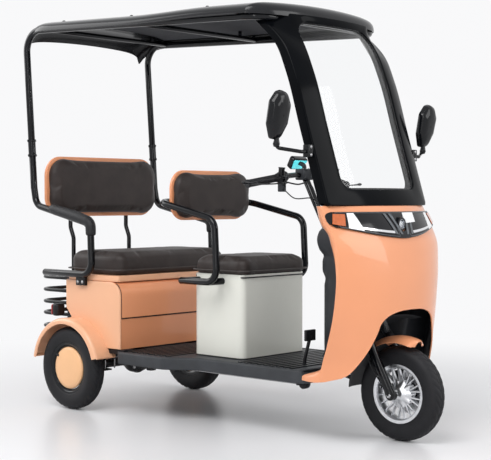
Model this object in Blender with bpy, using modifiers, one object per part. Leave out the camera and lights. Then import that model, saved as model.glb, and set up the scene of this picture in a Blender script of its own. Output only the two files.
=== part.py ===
"""Electric three-wheeled light vehicle with a canopy, a driver's seat and a rear bench.

Lengths are in metres. X runs forward, Y to the vehicle's left, Z up. The sizes below
are given from the rear axle's centre on the ground; the empty vehicle_origin moves
everything back so that the model stands centred on the world origin.
"""
import math

import bmesh
import bpy
import numpy as np
from mathutils import Matrix, Vector

# Clearances
SEAT_GAP = 0.0003
PIN_GAP = 0.0008
OVERRUN = 0.02
WELD = 0.00001

# Wheels and stance
TYRE_RADIUS = 0.183
TYRE_WIDTH = 0.080
RIM_RADIUS = 0.114
BEAD_RADIUS = 0.1015
BEAD_WIDTH = 0.053
FLANGE_THICKNESS = 0.0035
WHEELBASE = 1.5055
BOX_HALF_WIDTH = 0.360
WHEEL_OUTSET = 0.0215
TRACK = 2 * (BOX_HALF_WIDTH + WHEEL_OUTSET)
TURN_STEPS = 28
HUB_CAP_RADIUS = 0.096
HUB_CAP_REACH = 0.037
HUB_CAP_DOME = 0.008
RIM_WALL = 0.006
WEB_DEPTH = 0.012
REAR_SHAFT_RADIUS = 0.010
REAR_HUB_RADIUS = 0.026
HUB_HALF_WIDTH = 0.030
FRONT_AXLE_RADIUS = 0.006
FRONT_HUB_RADIUS = 0.028
FRONT_HUB_HALF = 0.032
SPOKE_PAIRS = 10
SPOKE_ROOT_WIDTH = 0.011
SPOKE_TIP_WIDTH = 0.006
SPOKE_DEPTH = 0.016
SPOKE_SPREAD = math.radians(6.5)

# Steering
RAKE = math.radians(28)
FORK_OFFSET = 0.035
FORK_HALF_WIDTH = 0.0725
SLIDER_RADIUS = 0.019
SLIDER_LENGTH = 0.225
STANCHION_RADIUS = 0.013
CROWN_RISE = 0.325
CROWN_THICKNESS = 0.030
CROWN_BOSS_RADIUS = 0.026
CROWN_BRIDGE_RADIUS = 0.0165
AXLE_LUG_RADIUS = 0.021
HEAD_TUBE_RADIUS = 0.025
HEAD_TUBE_LENGTH = 0.310
STEM_RADIUS = 0.0145
BAR_HEIGHT = 1.030
BAR_RADIUS = 0.011
BAR_CENTRE_REACH = 0.055
GRIP_INNER_REACH = 0.165
GRIP_OUTER_REACH = 0.312
GRIP_SWEEP = 0.026
GRIP_DROP = 0.037
GRIP_RADIUS = 0.0165
BAR_CLAMP_RADIUS = 0.027
SWITCH_RADIUS = 0.022
SWITCH_LENGTH = 0.040
LEVER_DROP = 0.030
LEVER_LEAD = 0.026
LEVER_TIP_REACH = 0.352
LEVER_THICKNESS = 0.010
LEVER_WIDTH = 0.016
LOCK_BLOCK_WIDTH = 0.026
LOCK_BLOCK_DROP = 0.062
DISPLAY_WIDTH = 0.085
DISPLAY_HEIGHT = 0.048
DISPLAY_DEPTH = 0.026
DISPLAY_RISE = 0.052
DISPLAY_SETBACK = 0.040
DISPLAY_TILT = math.radians(38)
DISPLAY_STALK_RADIUS = 0.009
FENDER_RADIUS = 0.224
FENDER_HALF_WIDTH = 0.051
FENDER_THICKNESS = 0.004
FENDER_LIP = 0.022
FENDER_BOSS_RADIUS = 0.007
FENDER_FRONT_ANGLE = math.radians(70)
FENDER_REAR_ANGLE = math.radians(158)
FLAP_END_ANGLE = math.radians(178)

# Floor and main frame
FLOOR_TOP = 0.272
FLOOR_BOTTOM = 0.222
FLOOR_PLATE = 0.008
FLOOR_SKIRT = 0.006
FLOOR_REAR = 0.288
FLOOR_WIDE_END = 0.560
FLOOR_TAPER_END = 0.685
FLOOR_FRONT = 1.252
FLOOR_OUTSET = 0.010
FLOOR_WIDE_HALF = BOX_HALF_WIDTH + FLOOR_OUTSET
FLOOR_NARROW_HALF = 0.288
FLOOR_CORNER = 0.030
RAIL_RADIUS = 0.016
RAIL_HALF_GAUGE = 0.170
RAIL_FRONT = 1.215
RAIL_REAR = -0.200
RAIL_KICK = 0.255
RAIL_BEND = 0.060
CROSS_RADIUS = 0.012
DOWN_TUBE_RADIUS = 0.019
DOWN_TUBE_KNEE_X = 1.212
DOWN_TUBE_KNEE_Z = 0.370
SHIELD_STAY_HEIGHT = 0.640
SHIELD_STAY_WIDTH = 0.060
SHIELD_STAY_THICKNESS = 0.008

# Front shield, as a sheet bent round the front
SHIELD_FOOT = 0.235
SHIELD_TOP = 0.905
SHIELD_NOSE = 1.556
SHIELD_NOSE_FALL = 0.108
SHIELD_HALF_WIDTH = 0.335
SHIELD_TUCK = 0.028
SHIELD_WALL = 0.0045
SHIELD_ROUND_SHARE = 2.4
SHIELD_EDGE_X = 1.470
SHIELD_EDGE_FALL = 0.100
SHIELD_REAR_X = 1.446
SHIELD_REAR_FALL = 0.188
NOSE_SHARES = ((0.0, 0.0), (0.41, 0.05), (0.66, 0.17), (0.81, 0.37), (0.90, 0.62), (1.0, 1.0))
EDGE_SHARES = (
    (0.0, 0.98), (0.12, 0.90), (0.22, 0.68), (0.35, 0.44), (0.50, 0.28), (0.60, 0.22),
    (0.70, 0.22), (0.79, 0.28), (0.88, 0.55), (1.0, 0.98),
)
REAR_SHARES = (
    (0.0, 1.0), (0.035, 0.99), (0.081, 0.53), (0.141, 0.375), (0.256, 0.262), (0.369, 0.155),
    (0.482, 0.088), (0.565, 0.077), (0.675, 0.128), (0.785, 0.254), (0.850, 0.350), (0.882, 0.465),
    (1.0, 0.63),
)
SHIELD_ROW_SHARES = (0.0, 0.035, 0.058, 0.081, 0.141, 0.22, 0.32, 0.44, 0.56, 0.68, 0.785, 0.85, 0.882, 1.0)
SHIELD_ACROSS_SHARES = (0.0, 0.22, 0.42, 0.60, 0.75, 0.88, 1.0)
ARCH_TOP = 0.513
ARCH_REAR = 1.400
ARCH_SHARES = (
    (0.0, 1.0), (0.20, 0.99), (0.31, 0.965), (0.425, 0.91), (0.506, 0.82), (0.545, 0.70), (0.605, 0.53),
    (0.666, 0.375), (0.726, 0.242), (0.786, 0.13), (0.867, 0.034), (0.92, -0.01), (0.96, -0.07), (1.06, -0.25),
)
ARCH_HALF_WIDTH = 0.332
ARCH_DEPTH = 0.262

# Lamps in the shield
BAND_TOP = 0.884
BAND_END_DEPTH = 0.050
BAND_MIDDLE_DEPTH = 0.102
BAND_PROUD = 0.009
BAND_HALF_SHARE = 0.90
LAMP_RADIUS = 0.027
LAMP_PROUD = 0.012
LAMP_RIM = 0.004
LAMP_BODY = 0.022
LAMP_HEIGHT = 0.836
LAMP_STEPS = 18

# Inner leg shield
LEG_TOP = 0.898
LEG_WALL = 0.004
LEG_EDGE_GAP = 0.036
LEG_OVERLAP = 0.012
TUNNEL_HALF_WIDTH = 0.060
TUNNEL_FLARE = 0.105
TUNNEL_REAR_X = 1.180
TUNNEL_REACH = 0.100
TUNNEL_SHARES = (
    (0.0, 0.0), (0.13, 0.03), (0.51, 0.03), (0.55, -0.02), (0.60, 0.13), (0.66, 0.13), (0.70, 0.08),
    (0.73, 0.28), (0.82, 0.38), (0.86, 0.20), (0.94, -1.45), (1.0, -1.72),
)
LEG_ROW_SHARES = (0.0, 0.022, 0.045, 0.12, 0.28, 0.46, 0.55, 0.60, 0.66, 0.70, 0.73, 0.82, 0.86, 0.94, 1.0)
COLUMN_HOLE_RADIUS = 0.034

# Roof and its frame
ROOF_REAR = -0.362
ROOF_FRONT = 1.165
ROOF_FRONT_BOW = 0.045
POLE_OUTSET = 0.020
POLE_HALF_GAUGE = BOX_HALF_WIDTH + POLE_OUTSET
ROOF_OUTSET = 0.028
ROOF_HALF_WIDTH = POLE_HALF_GAUGE + ROOF_OUTSET
ROOF_WALL = 0.005
ROOF_CREST = 1.742
ROOF_PITCH_SHARE = 0.0456
ROOF_SKIRT = 0.046
ROOF_CROWN = 0.016
ROOF_REAR_DROP = 0.078
ROOF_REAR_RUN = 0.170
ROOF_ACROSS_SHARES = (0.0, 0.35, 0.65, 0.84, 0.93, 0.975, 0.995, 1.0)
ROOF_ALONG_SHARES = (0.0, 0.03, 0.06, 0.10, 0.20, 0.40, 0.60, 0.80, 0.93, 0.965, 0.985, 0.997, 1.0)
ROOF_STAND_INSET = 0.027
LINING_STAND_INSET = 0.120
ROOF_STAND_PLACE = POLE_HALF_GAUGE - ROOF_STAND_INSET
LINING_STAND_PLACE = POLE_HALF_GAUGE - LINING_STAND_INSET
STAND_HALF_WIDTH = 0.005
LINING_ACROSS_SHARES = (-0.90, -0.60, -0.30, 0.0, 0.30, 0.60, 0.90)
LINING_ALONG_SHARES = (0.12, 0.30, 0.50, 0.70, 0.90)
LINING_GAP = 0.012
LINING_INSET = 0.040
LINING_THICKNESS = 0.003
POLE_RADIUS = 0.0155
POLE_JOIN_Z = 1.205
POLE_TOP_X = -0.331
CANOPY_DROP = 0.038
CANOPY_FALL = 0.068
CANOPY_REAR_Z = ROOF_CREST - CANOPY_DROP
CANOPY_FRONT_Z = CANOPY_REAR_Z - CANOPY_FALL
CANOPY_FRONT_X = 1.105
CANOPY_BEND = 0.090
CANOPY_CROSS_RADIUS = 0.011
CANOPY_CROSS_X = (-0.180, 0.420)

# Windscreen
SCREEN_BOTTOM = SHIELD_TOP + 2 * SEAT_GAP
SCREEN_TOP = CANOPY_FRONT_Z - POLE_RADIUS - SEAT_GAP
SCREEN_FOOT_X = 1.398
SCREEN_FALL = 0.268
SCREEN_HALF_WIDTH = 0.325
SCREEN_BOW = 0.052
SCREEN_DEPTH = 0.034
SCREEN_SHARES = ((0.0, 0.0), (0.15, 0.125), (0.42, 0.35), (0.72, 0.60), (0.88, 0.79), (1.0, 1.0))
PANE_HALF_WIDTH = 0.205
PANE_FOOT_MARGIN = 0.0795
PANE_HEAD_MARGIN = 0.045
PANE_BOTTOM = SCREEN_BOTTOM + PANE_FOOT_MARGIN
PANE_TOP = SCREEN_TOP - PANE_HEAD_MARGIN
PANE_CORNER = 0.045
PANE_THICKNESS = 0.005

# Rear armrests, which are the feet of the poles
POST_FOOT_X = -0.275
POST_FOOT_Z = 0.985
POST_ARM_REAR_X = -0.258
POST_ARM_REAR_Z = 0.904
POST_ARM_FRONT_X = 0.118
POST_ARM_FRONT_Z = 0.822
POST_LOW_FRONT_X = 0.126
POST_LOW_Z = 0.600
POST_TAIL_X = -0.197
POST_BEND = 0.055
COLLAR_RADIUS = 0.020
COLLAR_LENGTH = 0.080
PAD_START_SHARE = 0.34
PAD_OVERHANG = 0.045
PAD_HALF_WIDTH = 0.022
PAD_THICKNESS = 0.026
PAD_ROUND = 0.010
BRACKET_X = 0.045
BRACKET_LENGTH = 0.060
BRACKET_HEIGHT = 0.050

# Rear box, bench and backrest
BOX_BOTTOM = 0.282
BOX_TOP = 0.572
BOX_REAR = -0.075
BOX_REAR_LOW = -0.041
BOX_CHAMFER_LOW = 0.407
BOX_CHAMFER_HIGH = 0.445
BOX_FRONT = 0.285
BOX_SHOULDER = 0.062
BOX_WALL = 0.005
BOX_MOUTH_MARGIN = 0.045
DOOR_LOW = 0.412
DOOR_HIGH = 0.500
DOOR_MARGIN = 0.035
DOOR_HALF_WIDTH = BOX_HALF_WIDTH - DOOR_MARGIN
DOOR_GAP = 0.010
DOOR_THICKNESS = 0.012
DOOR_HINGE_RADIUS = 0.006
PAN_MARGIN = 0.020
PAN_HALF_WIDTH = BOX_HALF_WIDTH - PAN_MARGIN
PAN_FRONT = 0.235
PAN_THICKNESS = 0.024
BENCH_REAR = -0.098
BENCH_FRONT = 0.274
BENCH_MARGIN = 0.008
BENCH_HALF_WIDTH = BOX_HALF_WIDTH - BENCH_MARGIN
BENCH_THICKNESS = 0.104
BENCH_ROUND = 0.030
BACK_POLE_GAP = 0.040
BACK_HALF_WIDTH = POLE_HALF_GAUGE - BACK_POLE_GAP
BACK_LOW = 0.850
BACK_HIGH = 1.130
BACK_FRONT_X = -0.196
BACK_THICKNESS = 0.058
BACK_ROUND = 0.026
BACK_CORNER = 0.070
STAY_HALF_GAUGE = 0.175
STAY_X = -0.242
STAY_ROOT_Z = 0.541
STAY_RADIUS = 0.010
STAY_TOP_MARGIN = 0.050
STAY_BEND = 0.045

# Rear rack and lamps
RACK_HEIGHTS = (0.342, 0.403, 0.456, 0.511, 0.570)
RACK_MARGIN = 0.068
RACK_HALF_WIDTH = BOX_HALF_WIDTH - RACK_MARGIN
RACK_REACH = -0.322
RACK_POST_X = -0.128
RACK_RADIUS = 0.007
RACK_BEND = 0.060
RACK_POST_WIDTH = 0.026
RACK_POST_THICKNESS = 0.014
TAIL_LAMP_REACH = 0.068
TAIL_LAMP_HALF_GAUGE = RACK_HALF_WIDTH + TAIL_LAMP_REACH
TAIL_LAMP_HEIGHT = 0.432
TAIL_LAMP_SIZE = 0.060
TAIL_LAMP_DEPTH = 0.046

# Rear fenders, axle and springs
GUARD_RADIUS = 0.220
WELL_DEPTH = 0.048
GUARD_CLEARANCE = 0.0155
GUARD_INNER_Y = BOX_HALF_WIDTH - WELL_DEPTH
GUARD_OUTER_Y = TRACK / 2 + TYRE_WIDTH / 2 + GUARD_CLEARANCE
GUARD_WALL = 0.004
GUARD_REAR_ANGLE = math.radians(170)
GUARD_FRONT_ANGLE = math.radians(16)
GUARD_LIP = 0.020
AXLE_TUBE_RADIUS = 0.022
AXLE_TUBE_CLEARANCE = 0.0235
AXLE_TUBE_HALF = TRACK / 2 - TYRE_WIDTH / 2 - AXLE_TUBE_CLEARANCE
DIFF_RADIUS = 0.058
DIFF_HALF_WIDTH = 0.045
MOTOR_RADIUS = 0.056
MOTOR_LENGTH = 0.170
MOTOR_SETBACK = 0.092
SPRING_GAUGE = 0.210
SPRING_WIDTH = 0.040
SPRING_LEAF = 0.006
SPRING_LEAVES = 3
LEAF_STEP_SHARE = 0.27
SPRING_HALF_SPAN = 0.172
SPRING_EYE_RADIUS = 0.012

# Driver's box, seat and armrests
SEAT_BOX_REAR = 0.569
SEAT_BOX_FRONT = 0.862
SEAT_BOX_HALF = 0.205
SEAT_BOX_TOP = 0.576
SEAT_BOX_WALL = 0.005
SEAT_BOX_ROUND = 0.034
BATTERY_LENGTH = 0.200
BATTERY_HALF_WIDTH = 0.170
BATTERY_HEIGHT = 0.180
CUSHION_REAR = 0.560
CUSHION_FRONT = 0.878
CUSHION_HALF = 0.215
CUSHION_BOTTOM = 0.612
CUSHION_THICKNESS = 0.080
CUSHION_ROUND = 0.026
CUSHION_PAN_INSET = 0.018
DRIVER_BACK_HALF = 0.240
DRIVER_BACK_LOW = 0.840
DRIVER_BACK_HIGH = 1.057
DRIVER_BACK_THICKNESS = 0.056
DRIVER_BACK_CORNER = 0.062
ARM_HALF_GAUGE = 0.284
ARM_RADIUS = 0.0145
ARM_REAR_X = 0.449
ARM_REAR_Z = 0.920
ARM_KNEE_X = 0.776
ARM_KNEE_Z = 0.848
ARM_FOOT_X = 0.790
ARM_FOOT_Z = 0.5915
ARM_TAIL_X = 0.583
ARM_BEND = 0.055
ARM_CROSS_X = (0.605, 0.742)
BACK_LUG_PLACE = 0.120
BACK_LUG_HALF_WIDTH = 0.014
BACK_LUG_REACH = 0.002

# Pedal and under-floor linkage
PEDAL_Y = -0.132
PEDAL_PIVOT_X = 1.128
PEDAL_PIVOT_Z = 0.196
PEDAL_PAD_X = 1.155
PEDAL_PAD_Z = 0.392
PEDAL_PAD_WIDTH = 0.062
PEDAL_PAD_HEIGHT = 0.044
PEDAL_ARM_RADIUS = 0.007
PEDAL_SLOT_WIDTH = 0.022
PEDAL_SLOT_LENGTH = 0.070
CRANK_RADIUS = 0.020
CRANK_WIDTH = 0.030
ROD_RADIUS = 0.004
ROD_REAR_X = 0.540

# Mirrors
MIRROR_HALF_GAUGE = 0.480
MIRROR_X = 1.295
MIRROR_Z = 1.240
MIRROR_HALF_HEIGHT = 0.092
MIRROR_HALF_WIDTH = 0.056
MIRROR_DEPTH = 0.040
MIRROR_LEAN = math.radians(12)
MIRROR_ARM_Z = 1.112
MIRROR_ARM_RADIUS = 0.007

# Finishes: name, colour, roughness, metallic
ORANGE = ("peach_paint", (0.82, 0.37, 0.19), 0.30, 0.0)
WHITE = ("cream_paint", (0.78, 0.79, 0.72), 0.32, 0.0)
BLACK = ("black_gloss", (0.012, 0.013, 0.015), 0.22, 0.0)
FRAME_BLACK = ("frame_black", (0.02, 0.02, 0.022), 0.50, 0.0)
FLOOR_GREY = ("floor_grey", (0.05, 0.055, 0.06), 0.70, 0.0)
LEATHER = ("brown_leather", (0.055, 0.042, 0.038), 0.62, 0.0)
TYRE_BLACK = ("tyre_rubber", (0.02, 0.02, 0.022), 0.85, 0.0)
SILVER = ("cast_silver", (0.70, 0.71, 0.72), 0.30, 0.9)
GLASS = ("clear_screen", (0.85, 0.88, 0.90), 0.05, 0.0)
AMBER = ("amber_lens", (0.75, 0.22, 0.03), 0.20, 0.0)
RUBBER = ("soft_black", (0.025, 0.025, 0.027), 0.70, 0.0)
GREY = ("lining_grey", (0.42, 0.43, 0.44), 0.80, 0.0)

FRONT_AXLE = Vector((WHEELBASE, 0.0, TYRE_RADIUS))
STEER_DIRECTION = Vector((-math.sin(RAKE), 0.0, math.cos(RAKE)))
STEER_ACROSS = Vector((math.cos(RAKE), 0.0, math.sin(RAKE)))
STEER_FOOT = FRONT_AXLE - STEER_ACROSS * FORK_OFFSET
BAR_RISE = (BAR_HEIGHT - STEER_FOOT.z) / STEER_DIRECTION.z
POLE_JOIN_X = POST_FOOT_X + (POLE_TOP_X - POST_FOOT_X) * (
    (POLE_JOIN_Z - POST_FOOT_Z) / (CANOPY_REAR_Z - POST_FOOT_Z)
)
DRIVER_BACK_FACE = ARM_REAR_X + ARM_RADIUS + BACK_LUG_REACH + SEAT_GAP + DRIVER_BACK_THICKNESS
HEAD_TUBE_START = CROWN_RISE + CROWN_THICKNESS / 2 + SEAT_GAP
SIDES = (("right", -1), ("left", 1))


# Scene set-up

def clear_scene():
    for item in list(bpy.data.objects):
        bpy.data.objects.remove(item, do_unlink=True)


def make_collection(name):
    collection = bpy.data.collections.new(name)
    bpy.context.scene.collection.children.link(collection)
    return collection


clear_scene()
PARTS = make_collection("electric_tricycle")
CUTTERS = make_collection("cutters")


def material(finish):
    name, colour, roughness, metallic = finish
    existing = bpy.data.materials.get(name)
    if existing:
        return existing
    made = bpy.data.materials.new(name)
    made.use_nodes = True
    shader = made.node_tree.nodes["Principled BSDF"]
    shader.inputs["Base Color"].default_value = (*colour, 1.0)
    shader.inputs["Roughness"].default_value = roughness
    shader.inputs["Metallic"].default_value = metallic
    made.diffuse_color = (*colour, 1.0)
    return made


# Making and joining shapes

def add_object(name, mesh):
    made = bpy.data.objects.new(name, mesh)
    PARTS.objects.link(made)
    return made


def hide_as_tool(tool):
    """A cutter, or a shape that a union takes in, goes out of the parts' collection."""
    for collection in list(tool.users_collection):
        collection.objects.unlink(tool)
    CUTTERS.objects.link(tool)
    tool.display_type = "WIRE"
    tool.hide_render = True


def combine(target, tool, operation, solver="EXACT"):
    hide_as_tool(tool)
    modifier = target.modifiers.new(operation.lower(), "BOOLEAN")
    modifier.operation = operation
    modifier.object = tool
    modifier.solver = solver
    return target


def cut(target, *tools):
    for tool in tools:
        combine(target, tool, "DIFFERENCE")
    return target


def fuse(target, *tools, solver="EXACT"):
    for tool in tools:
        combine(target, tool, "UNION", solver)
    return target


def as_mesh(source):
    """Replace a curve or a modified object by the plain welded mesh that it shows."""
    bpy.context.view_layer.update()
    graph = bpy.context.evaluated_depsgraph_get()
    mesh = bpy.data.meshes.new_from_object(source.evaluated_get(graph))
    mesh.transform(source.matrix_world)
    shape = bmesh.new()
    shape.from_mesh(mesh)
    bmesh.ops.remove_doubles(shape, verts=shape.verts, dist=WELD)
    bmesh.ops.recalc_face_normals(shape, faces=shape.faces)
    shape.to_mesh(mesh)
    shape.free()
    name = source.name
    bpy.data.objects.remove(source, do_unlink=True)
    return add_object(name, mesh)


def finish_piece(piece, finish, pivot=None):
    """Give a piece its material and smooth shading, and its origin on its pivot."""
    piece.data.materials.clear()
    piece.data.materials.append(material(finish))
    piece.data.shade_smooth()
    piece.data.set_sharp_from_angle(angle=math.radians(35))
    if pivot is not None:
        piece.data.transform(Matrix.Translation(-Vector(pivot)))
        piece.location = Vector(pivot)
    return piece


def rounded(points, radius, steps=4, closed=False):
    """Points of a path whose corners are arcs of the radius, or of what room allows."""
    corners = [Vector(point) for point in points]
    count = len(corners)
    path = []
    for index, corner in enumerate(corners):
        if not closed and index in (0, count - 1):
            path.append(corner)
            continue
        back = corners[index - 1] - corner
        ahead = corners[(index + 1) % count] - corner
        half = back.angle(ahead) / 2
        room = min(back.length, ahead.length) * 0.49
        run = min(radius / math.tan(half), room)
        if run < WELD:
            path.append(corner)
            continue
        start = corner + back.normalized() * run
        end = corner + ahead.normalized() * run
        centre = corner + (back.normalized() + ahead.normalized()).normalized() * (run / math.cos(half))
        first = start - centre
        last = end - centre
        sweep = first.angle(last)
        for step in range(steps + 1):
            share = step / steps
            turn = math.sin((1 - share) * sweep) * first + math.sin(share * sweep) * last
            path.append(centre + turn / math.sin(sweep))
    return path


def tube(name, points, radius, resolution=2):
    """A round bar or tube along a path, as a mesh with its ends closed."""
    curve = bpy.data.curves.new(name, "CURVE")
    curve.dimensions = "3D"
    curve.bevel_depth = radius
    curve.bevel_resolution = resolution
    curve.use_fill_caps = True
    spline = curve.splines.new("POLY")
    spline.points.add(len(points) - 1)
    for place, point in zip(spline.points, points):
        place.co = (*point, 1.0)
    return as_mesh(add_object(name, curve))


FACING = {
    "plan": Matrix.Identity(4),
    "side": Matrix(((1, 0, 0, 0), (0, 0, -1, 0), (0, 1, 0, 0), (0, 0, 0, 1))),
    "front": Matrix(((0, 0, 1, 0), (1, 0, 0, 0), (0, 1, 0, 0), (0, 0, 0, 1))),
}


def slab(name, outline, thickness, facing, centre=(0.0, 0.0, 0.0)):
    """A flat outline given a thickness, its middle plane through the centre."""
    curve = bpy.data.curves.new(name, "CURVE")
    curve.dimensions = "2D"
    curve.fill_mode = "BOTH"
    curve.extrude = thickness / 2
    spline = curve.splines.new("POLY")
    spline.points.add(len(outline) - 1)
    for place, point in zip(spline.points, outline):
        place.co = (point[0], point[1], 0.0, 1.0)
    spline.use_cyclic_u = True
    shape = as_mesh(add_object(name, curve))
    shape.data.transform(Matrix.Translation(Vector(centre)) @ FACING[facing])
    return shape


def block(name, low, high, edge=0.0, steps=2):
    """A box between two corners, its edges rounded if an edge radius is given."""
    low = Vector(low)
    high = Vector(high)
    shape = bmesh.new()
    bmesh.ops.create_cube(shape, size=1.0)
    bmesh.ops.scale(shape, vec=high - low, verts=shape.verts)
    bmesh.ops.translate(shape, vec=(high + low) / 2, verts=shape.verts)
    mesh = bpy.data.meshes.new(name)
    shape.to_mesh(mesh)
    shape.free()
    made = add_object(name, mesh)
    if edge:
        bevel = made.modifiers.new("round_edges", "BEVEL")
        bevel.width = edge
        bevel.segments = steps
        bevel.limit_method = "NONE"
    return made


def turned(name, profile, centre, direction, steps=TURN_STEPS, closed=False):
    """A profile of (radius, height) points turned about an axis through the centre."""
    mesh = bpy.data.meshes.new(name)
    count = len(profile)
    edges = [(index, index + 1) for index in range(count - 1)]
    if closed:
        edges.append((count - 1, 0))
    mesh.from_pydata([(radius, 0.0, height) for radius, height in profile], edges, [])
    made = add_object(name, mesh)
    screw = made.modifiers.new("turn", "SCREW")
    screw.axis = "Z"
    screw.steps = steps
    screw.render_steps = steps
    screw.use_merge_vertices = True
    screw.merge_threshold = WELD
    made.location = Vector(centre)
    made.rotation_mode = "QUATERNION"
    made.rotation_quaternion = Vector((0.0, 0.0, 1.0)).rotation_difference(Vector(direction))
    return made


def drum(name, start, end, radius, steps=20):
    """A plain round drum between two points."""
    start = Vector(start)
    run = Vector(end) - start
    profile = ((0.0, run.length), (radius, run.length), (radius, 0.0), (0.0, 0.0))
    return as_mesh(turned(name, profile, start, run.normalized(), steps))


def sheet(name, rows, thickness, inward=-1.0):
    """A grid of points made into a wall of even thickness."""
    count = len(rows[0])
    points = [tuple(point) for row in rows for point in row]
    faces = []
    for level in range(len(rows) - 1):
        for index in range(count - 1):
            first = level * count + index
            faces.append((first, first + 1, first + count + 1, first + count))
    mesh = bpy.data.meshes.new(name)
    mesh.from_pydata(points, [], faces)
    made = add_object(name, mesh)
    wall = made.modifiers.new("wall", "SOLIDIFY")
    wall.thickness = thickness
    wall.offset = inward
    wall.use_even_offset = True
    return made


def follow(shares, place):
    """A smooth curve through the (place, value) pairs, flat beyond its ends."""
    places = [pair[0] for pair in shares]
    values = [pair[1] for pair in shares]
    if place <= places[0]:
        return values[0]
    if place >= places[-1]:
        return values[-1]
    slopes = np.gradient(np.array(values), np.array(places))
    index = int(np.searchsorted(places, place, side="right")) - 1
    run = places[index + 1] - places[index]
    along = (place - places[index]) / run
    rise = values[index + 1] - values[index]
    steep = abs(rise / run) * 3
    first = min(max(slopes[index], -steep), steep) * run
    last = min(max(slopes[index + 1], -steep), steep) * run
    square = along * along
    cube = square * along
    return (
        values[index] * (2 * cube - 3 * square + 1)
        + first * (cube - 2 * square + along)
        + values[index + 1] * (3 * square - 2 * cube)
        + last * (cube - square)
    )


# Wheels

def make_tyre(name, centre):
    half = TYRE_WIDTH / 2
    bead = BEAD_WIDTH / 2 - SEAT_GAP
    seat = BEAD_RADIUS + SEAT_GAP
    lip = RIM_RADIUS + FLANGE_THICKNESS / 2
    section = TYRE_RADIUS - RIM_RADIUS
    lower = [
        (TYRE_RADIUS, -0.30 * half),
        (TYRE_RADIUS - 0.13 * section, -0.76 * half),
        (TYRE_RADIUS - 0.48 * section, -half),
        (lip, -0.84 * half),
        (lip, -bead),
        (seat, -bead),
    ]
    profile = [(radius, -height) for radius, height in reversed(lower)] + lower
    return turned(name, profile, centre, (0.0, 1.0, 0.0), closed=True)


def rim_edge(side):
    """The rim's flange and half of its bead seat, from the outer lip to the middle."""
    bead = BEAD_WIDTH / 2
    outer = bead + FLANGE_THICKNESS
    return [
        (RIM_RADIUS - RIM_WALL, side * outer),
        (RIM_RADIUS, side * outer),
        (BEAD_RADIUS, side * bead),
    ]


def make_rear_rim(name, centre, outboard):
    """A closed disc wheel: dished cap, flanged rim and a blind hub for the shaft."""
    inner = BEAD_RADIUS - RIM_WALL
    bore = REAR_SHAFT_RADIUS + PIN_GAP
    web = HUB_CAP_REACH - HUB_CAP_DOME - WEB_DEPTH
    profile = [
        (0.0, HUB_CAP_REACH),
        (0.62 * HUB_CAP_RADIUS, HUB_CAP_REACH - 0.25 * HUB_CAP_DOME),
        (0.92 * HUB_CAP_RADIUS, HUB_CAP_REACH - 0.70 * HUB_CAP_DOME),
        (HUB_CAP_RADIUS, HUB_CAP_REACH - 1.4 * HUB_CAP_DOME),
        (HUB_CAP_RADIUS, HUB_CAP_REACH - 2 * HUB_CAP_DOME),
    ]
    profile += rim_edge(1)
    profile += [pair for pair in reversed(rim_edge(-1))]
    profile += [
        (inner, -BEAD_WIDTH / 2),
        (inner, web),
        (REAR_HUB_RADIUS, web),
        (REAR_HUB_RADIUS, -HUB_HALF_WIDTH),
        (bore, -HUB_HALF_WIDTH),
        (bore, web),
        (0.0, web),
    ]
    return turned(name, profile, centre, (0.0, outboard, 0.0))


def make_front_rim(name, centre):
    """A cast wheel: flanged barrel, drilled hub and pairs of slim tapered spokes."""
    inner = BEAD_RADIUS - RIM_WALL
    barrel = rim_edge(1) + list(reversed(rim_edge(-1)))
    barrel += [(inner, -BEAD_WIDTH / 2), (inner, BEAD_WIDTH / 2)]
    wheel = as_mesh(turned(name, barrel, centre, (0.0, 1.0, 0.0), closed=True))
    bore = FRONT_AXLE_RADIUS + PIN_GAP
    hub_profile = [
        (bore, FRONT_HUB_HALF),
        (FRONT_HUB_RADIUS * 0.72, FRONT_HUB_HALF),
        (FRONT_HUB_RADIUS, FRONT_HUB_HALF * 0.6),
        (FRONT_HUB_RADIUS, -FRONT_HUB_HALF * 0.6),
        (FRONT_HUB_RADIUS * 0.72, -FRONT_HUB_HALF),
        (bore, -FRONT_HUB_HALF),
    ]
    hub = as_mesh(turned("hub", hub_profile, centre, (0.0, 1.0, 0.0), 16, closed=True))
    start = (FRONT_HUB_RADIUS + bore) / 2
    end = (inner + BEAD_RADIUS) / 2
    spokes = []
    for index in range(SPOKE_PAIRS):
        for lean in (-1, 1):
            outline = (
                (start, -SPOKE_ROOT_WIDTH / 2), (end, -SPOKE_TIP_WIDTH / 2),
                (end, SPOKE_TIP_WIDTH / 2), (start, SPOKE_ROOT_WIDTH / 2),
            )
            spoke = slab("spoke", outline, SPOKE_DEPTH, "side")
            turn = 2 * math.pi * index / SPOKE_PAIRS + lean * SPOKE_SPREAD
            spoke.data.transform(Matrix.Translation(centre) @ Matrix.Rotation(turn, 4, "Y"))
            spokes.append(spoke)
    return fuse(wheel, *spokes, hub)


def build_wheels():
    front = Vector((WHEELBASE, 0.0, TYRE_RADIUS))
    finish_piece(make_tyre("front_tyre", front), TYRE_BLACK)
    finish_piece(make_front_rim("front_rim", front), SILVER, front)
    for label, side in SIDES:
        centre = (0.0, side * TRACK / 2, TYRE_RADIUS)
        finish_piece(make_tyre("rear_tyre_" + label, centre), TYRE_BLACK)
        finish_piece(make_rear_rim("rear_rim_" + label, centre, side), ORANGE)


# Steering

def steer_point(rise, ahead=0.0, across=0.0):
    """A point by its height along the steering axis and its offsets from it."""
    return STEER_FOOT + STEER_DIRECTION * rise + STEER_ACROSS * ahead + Vector((0.0, across, 0.0))


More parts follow.
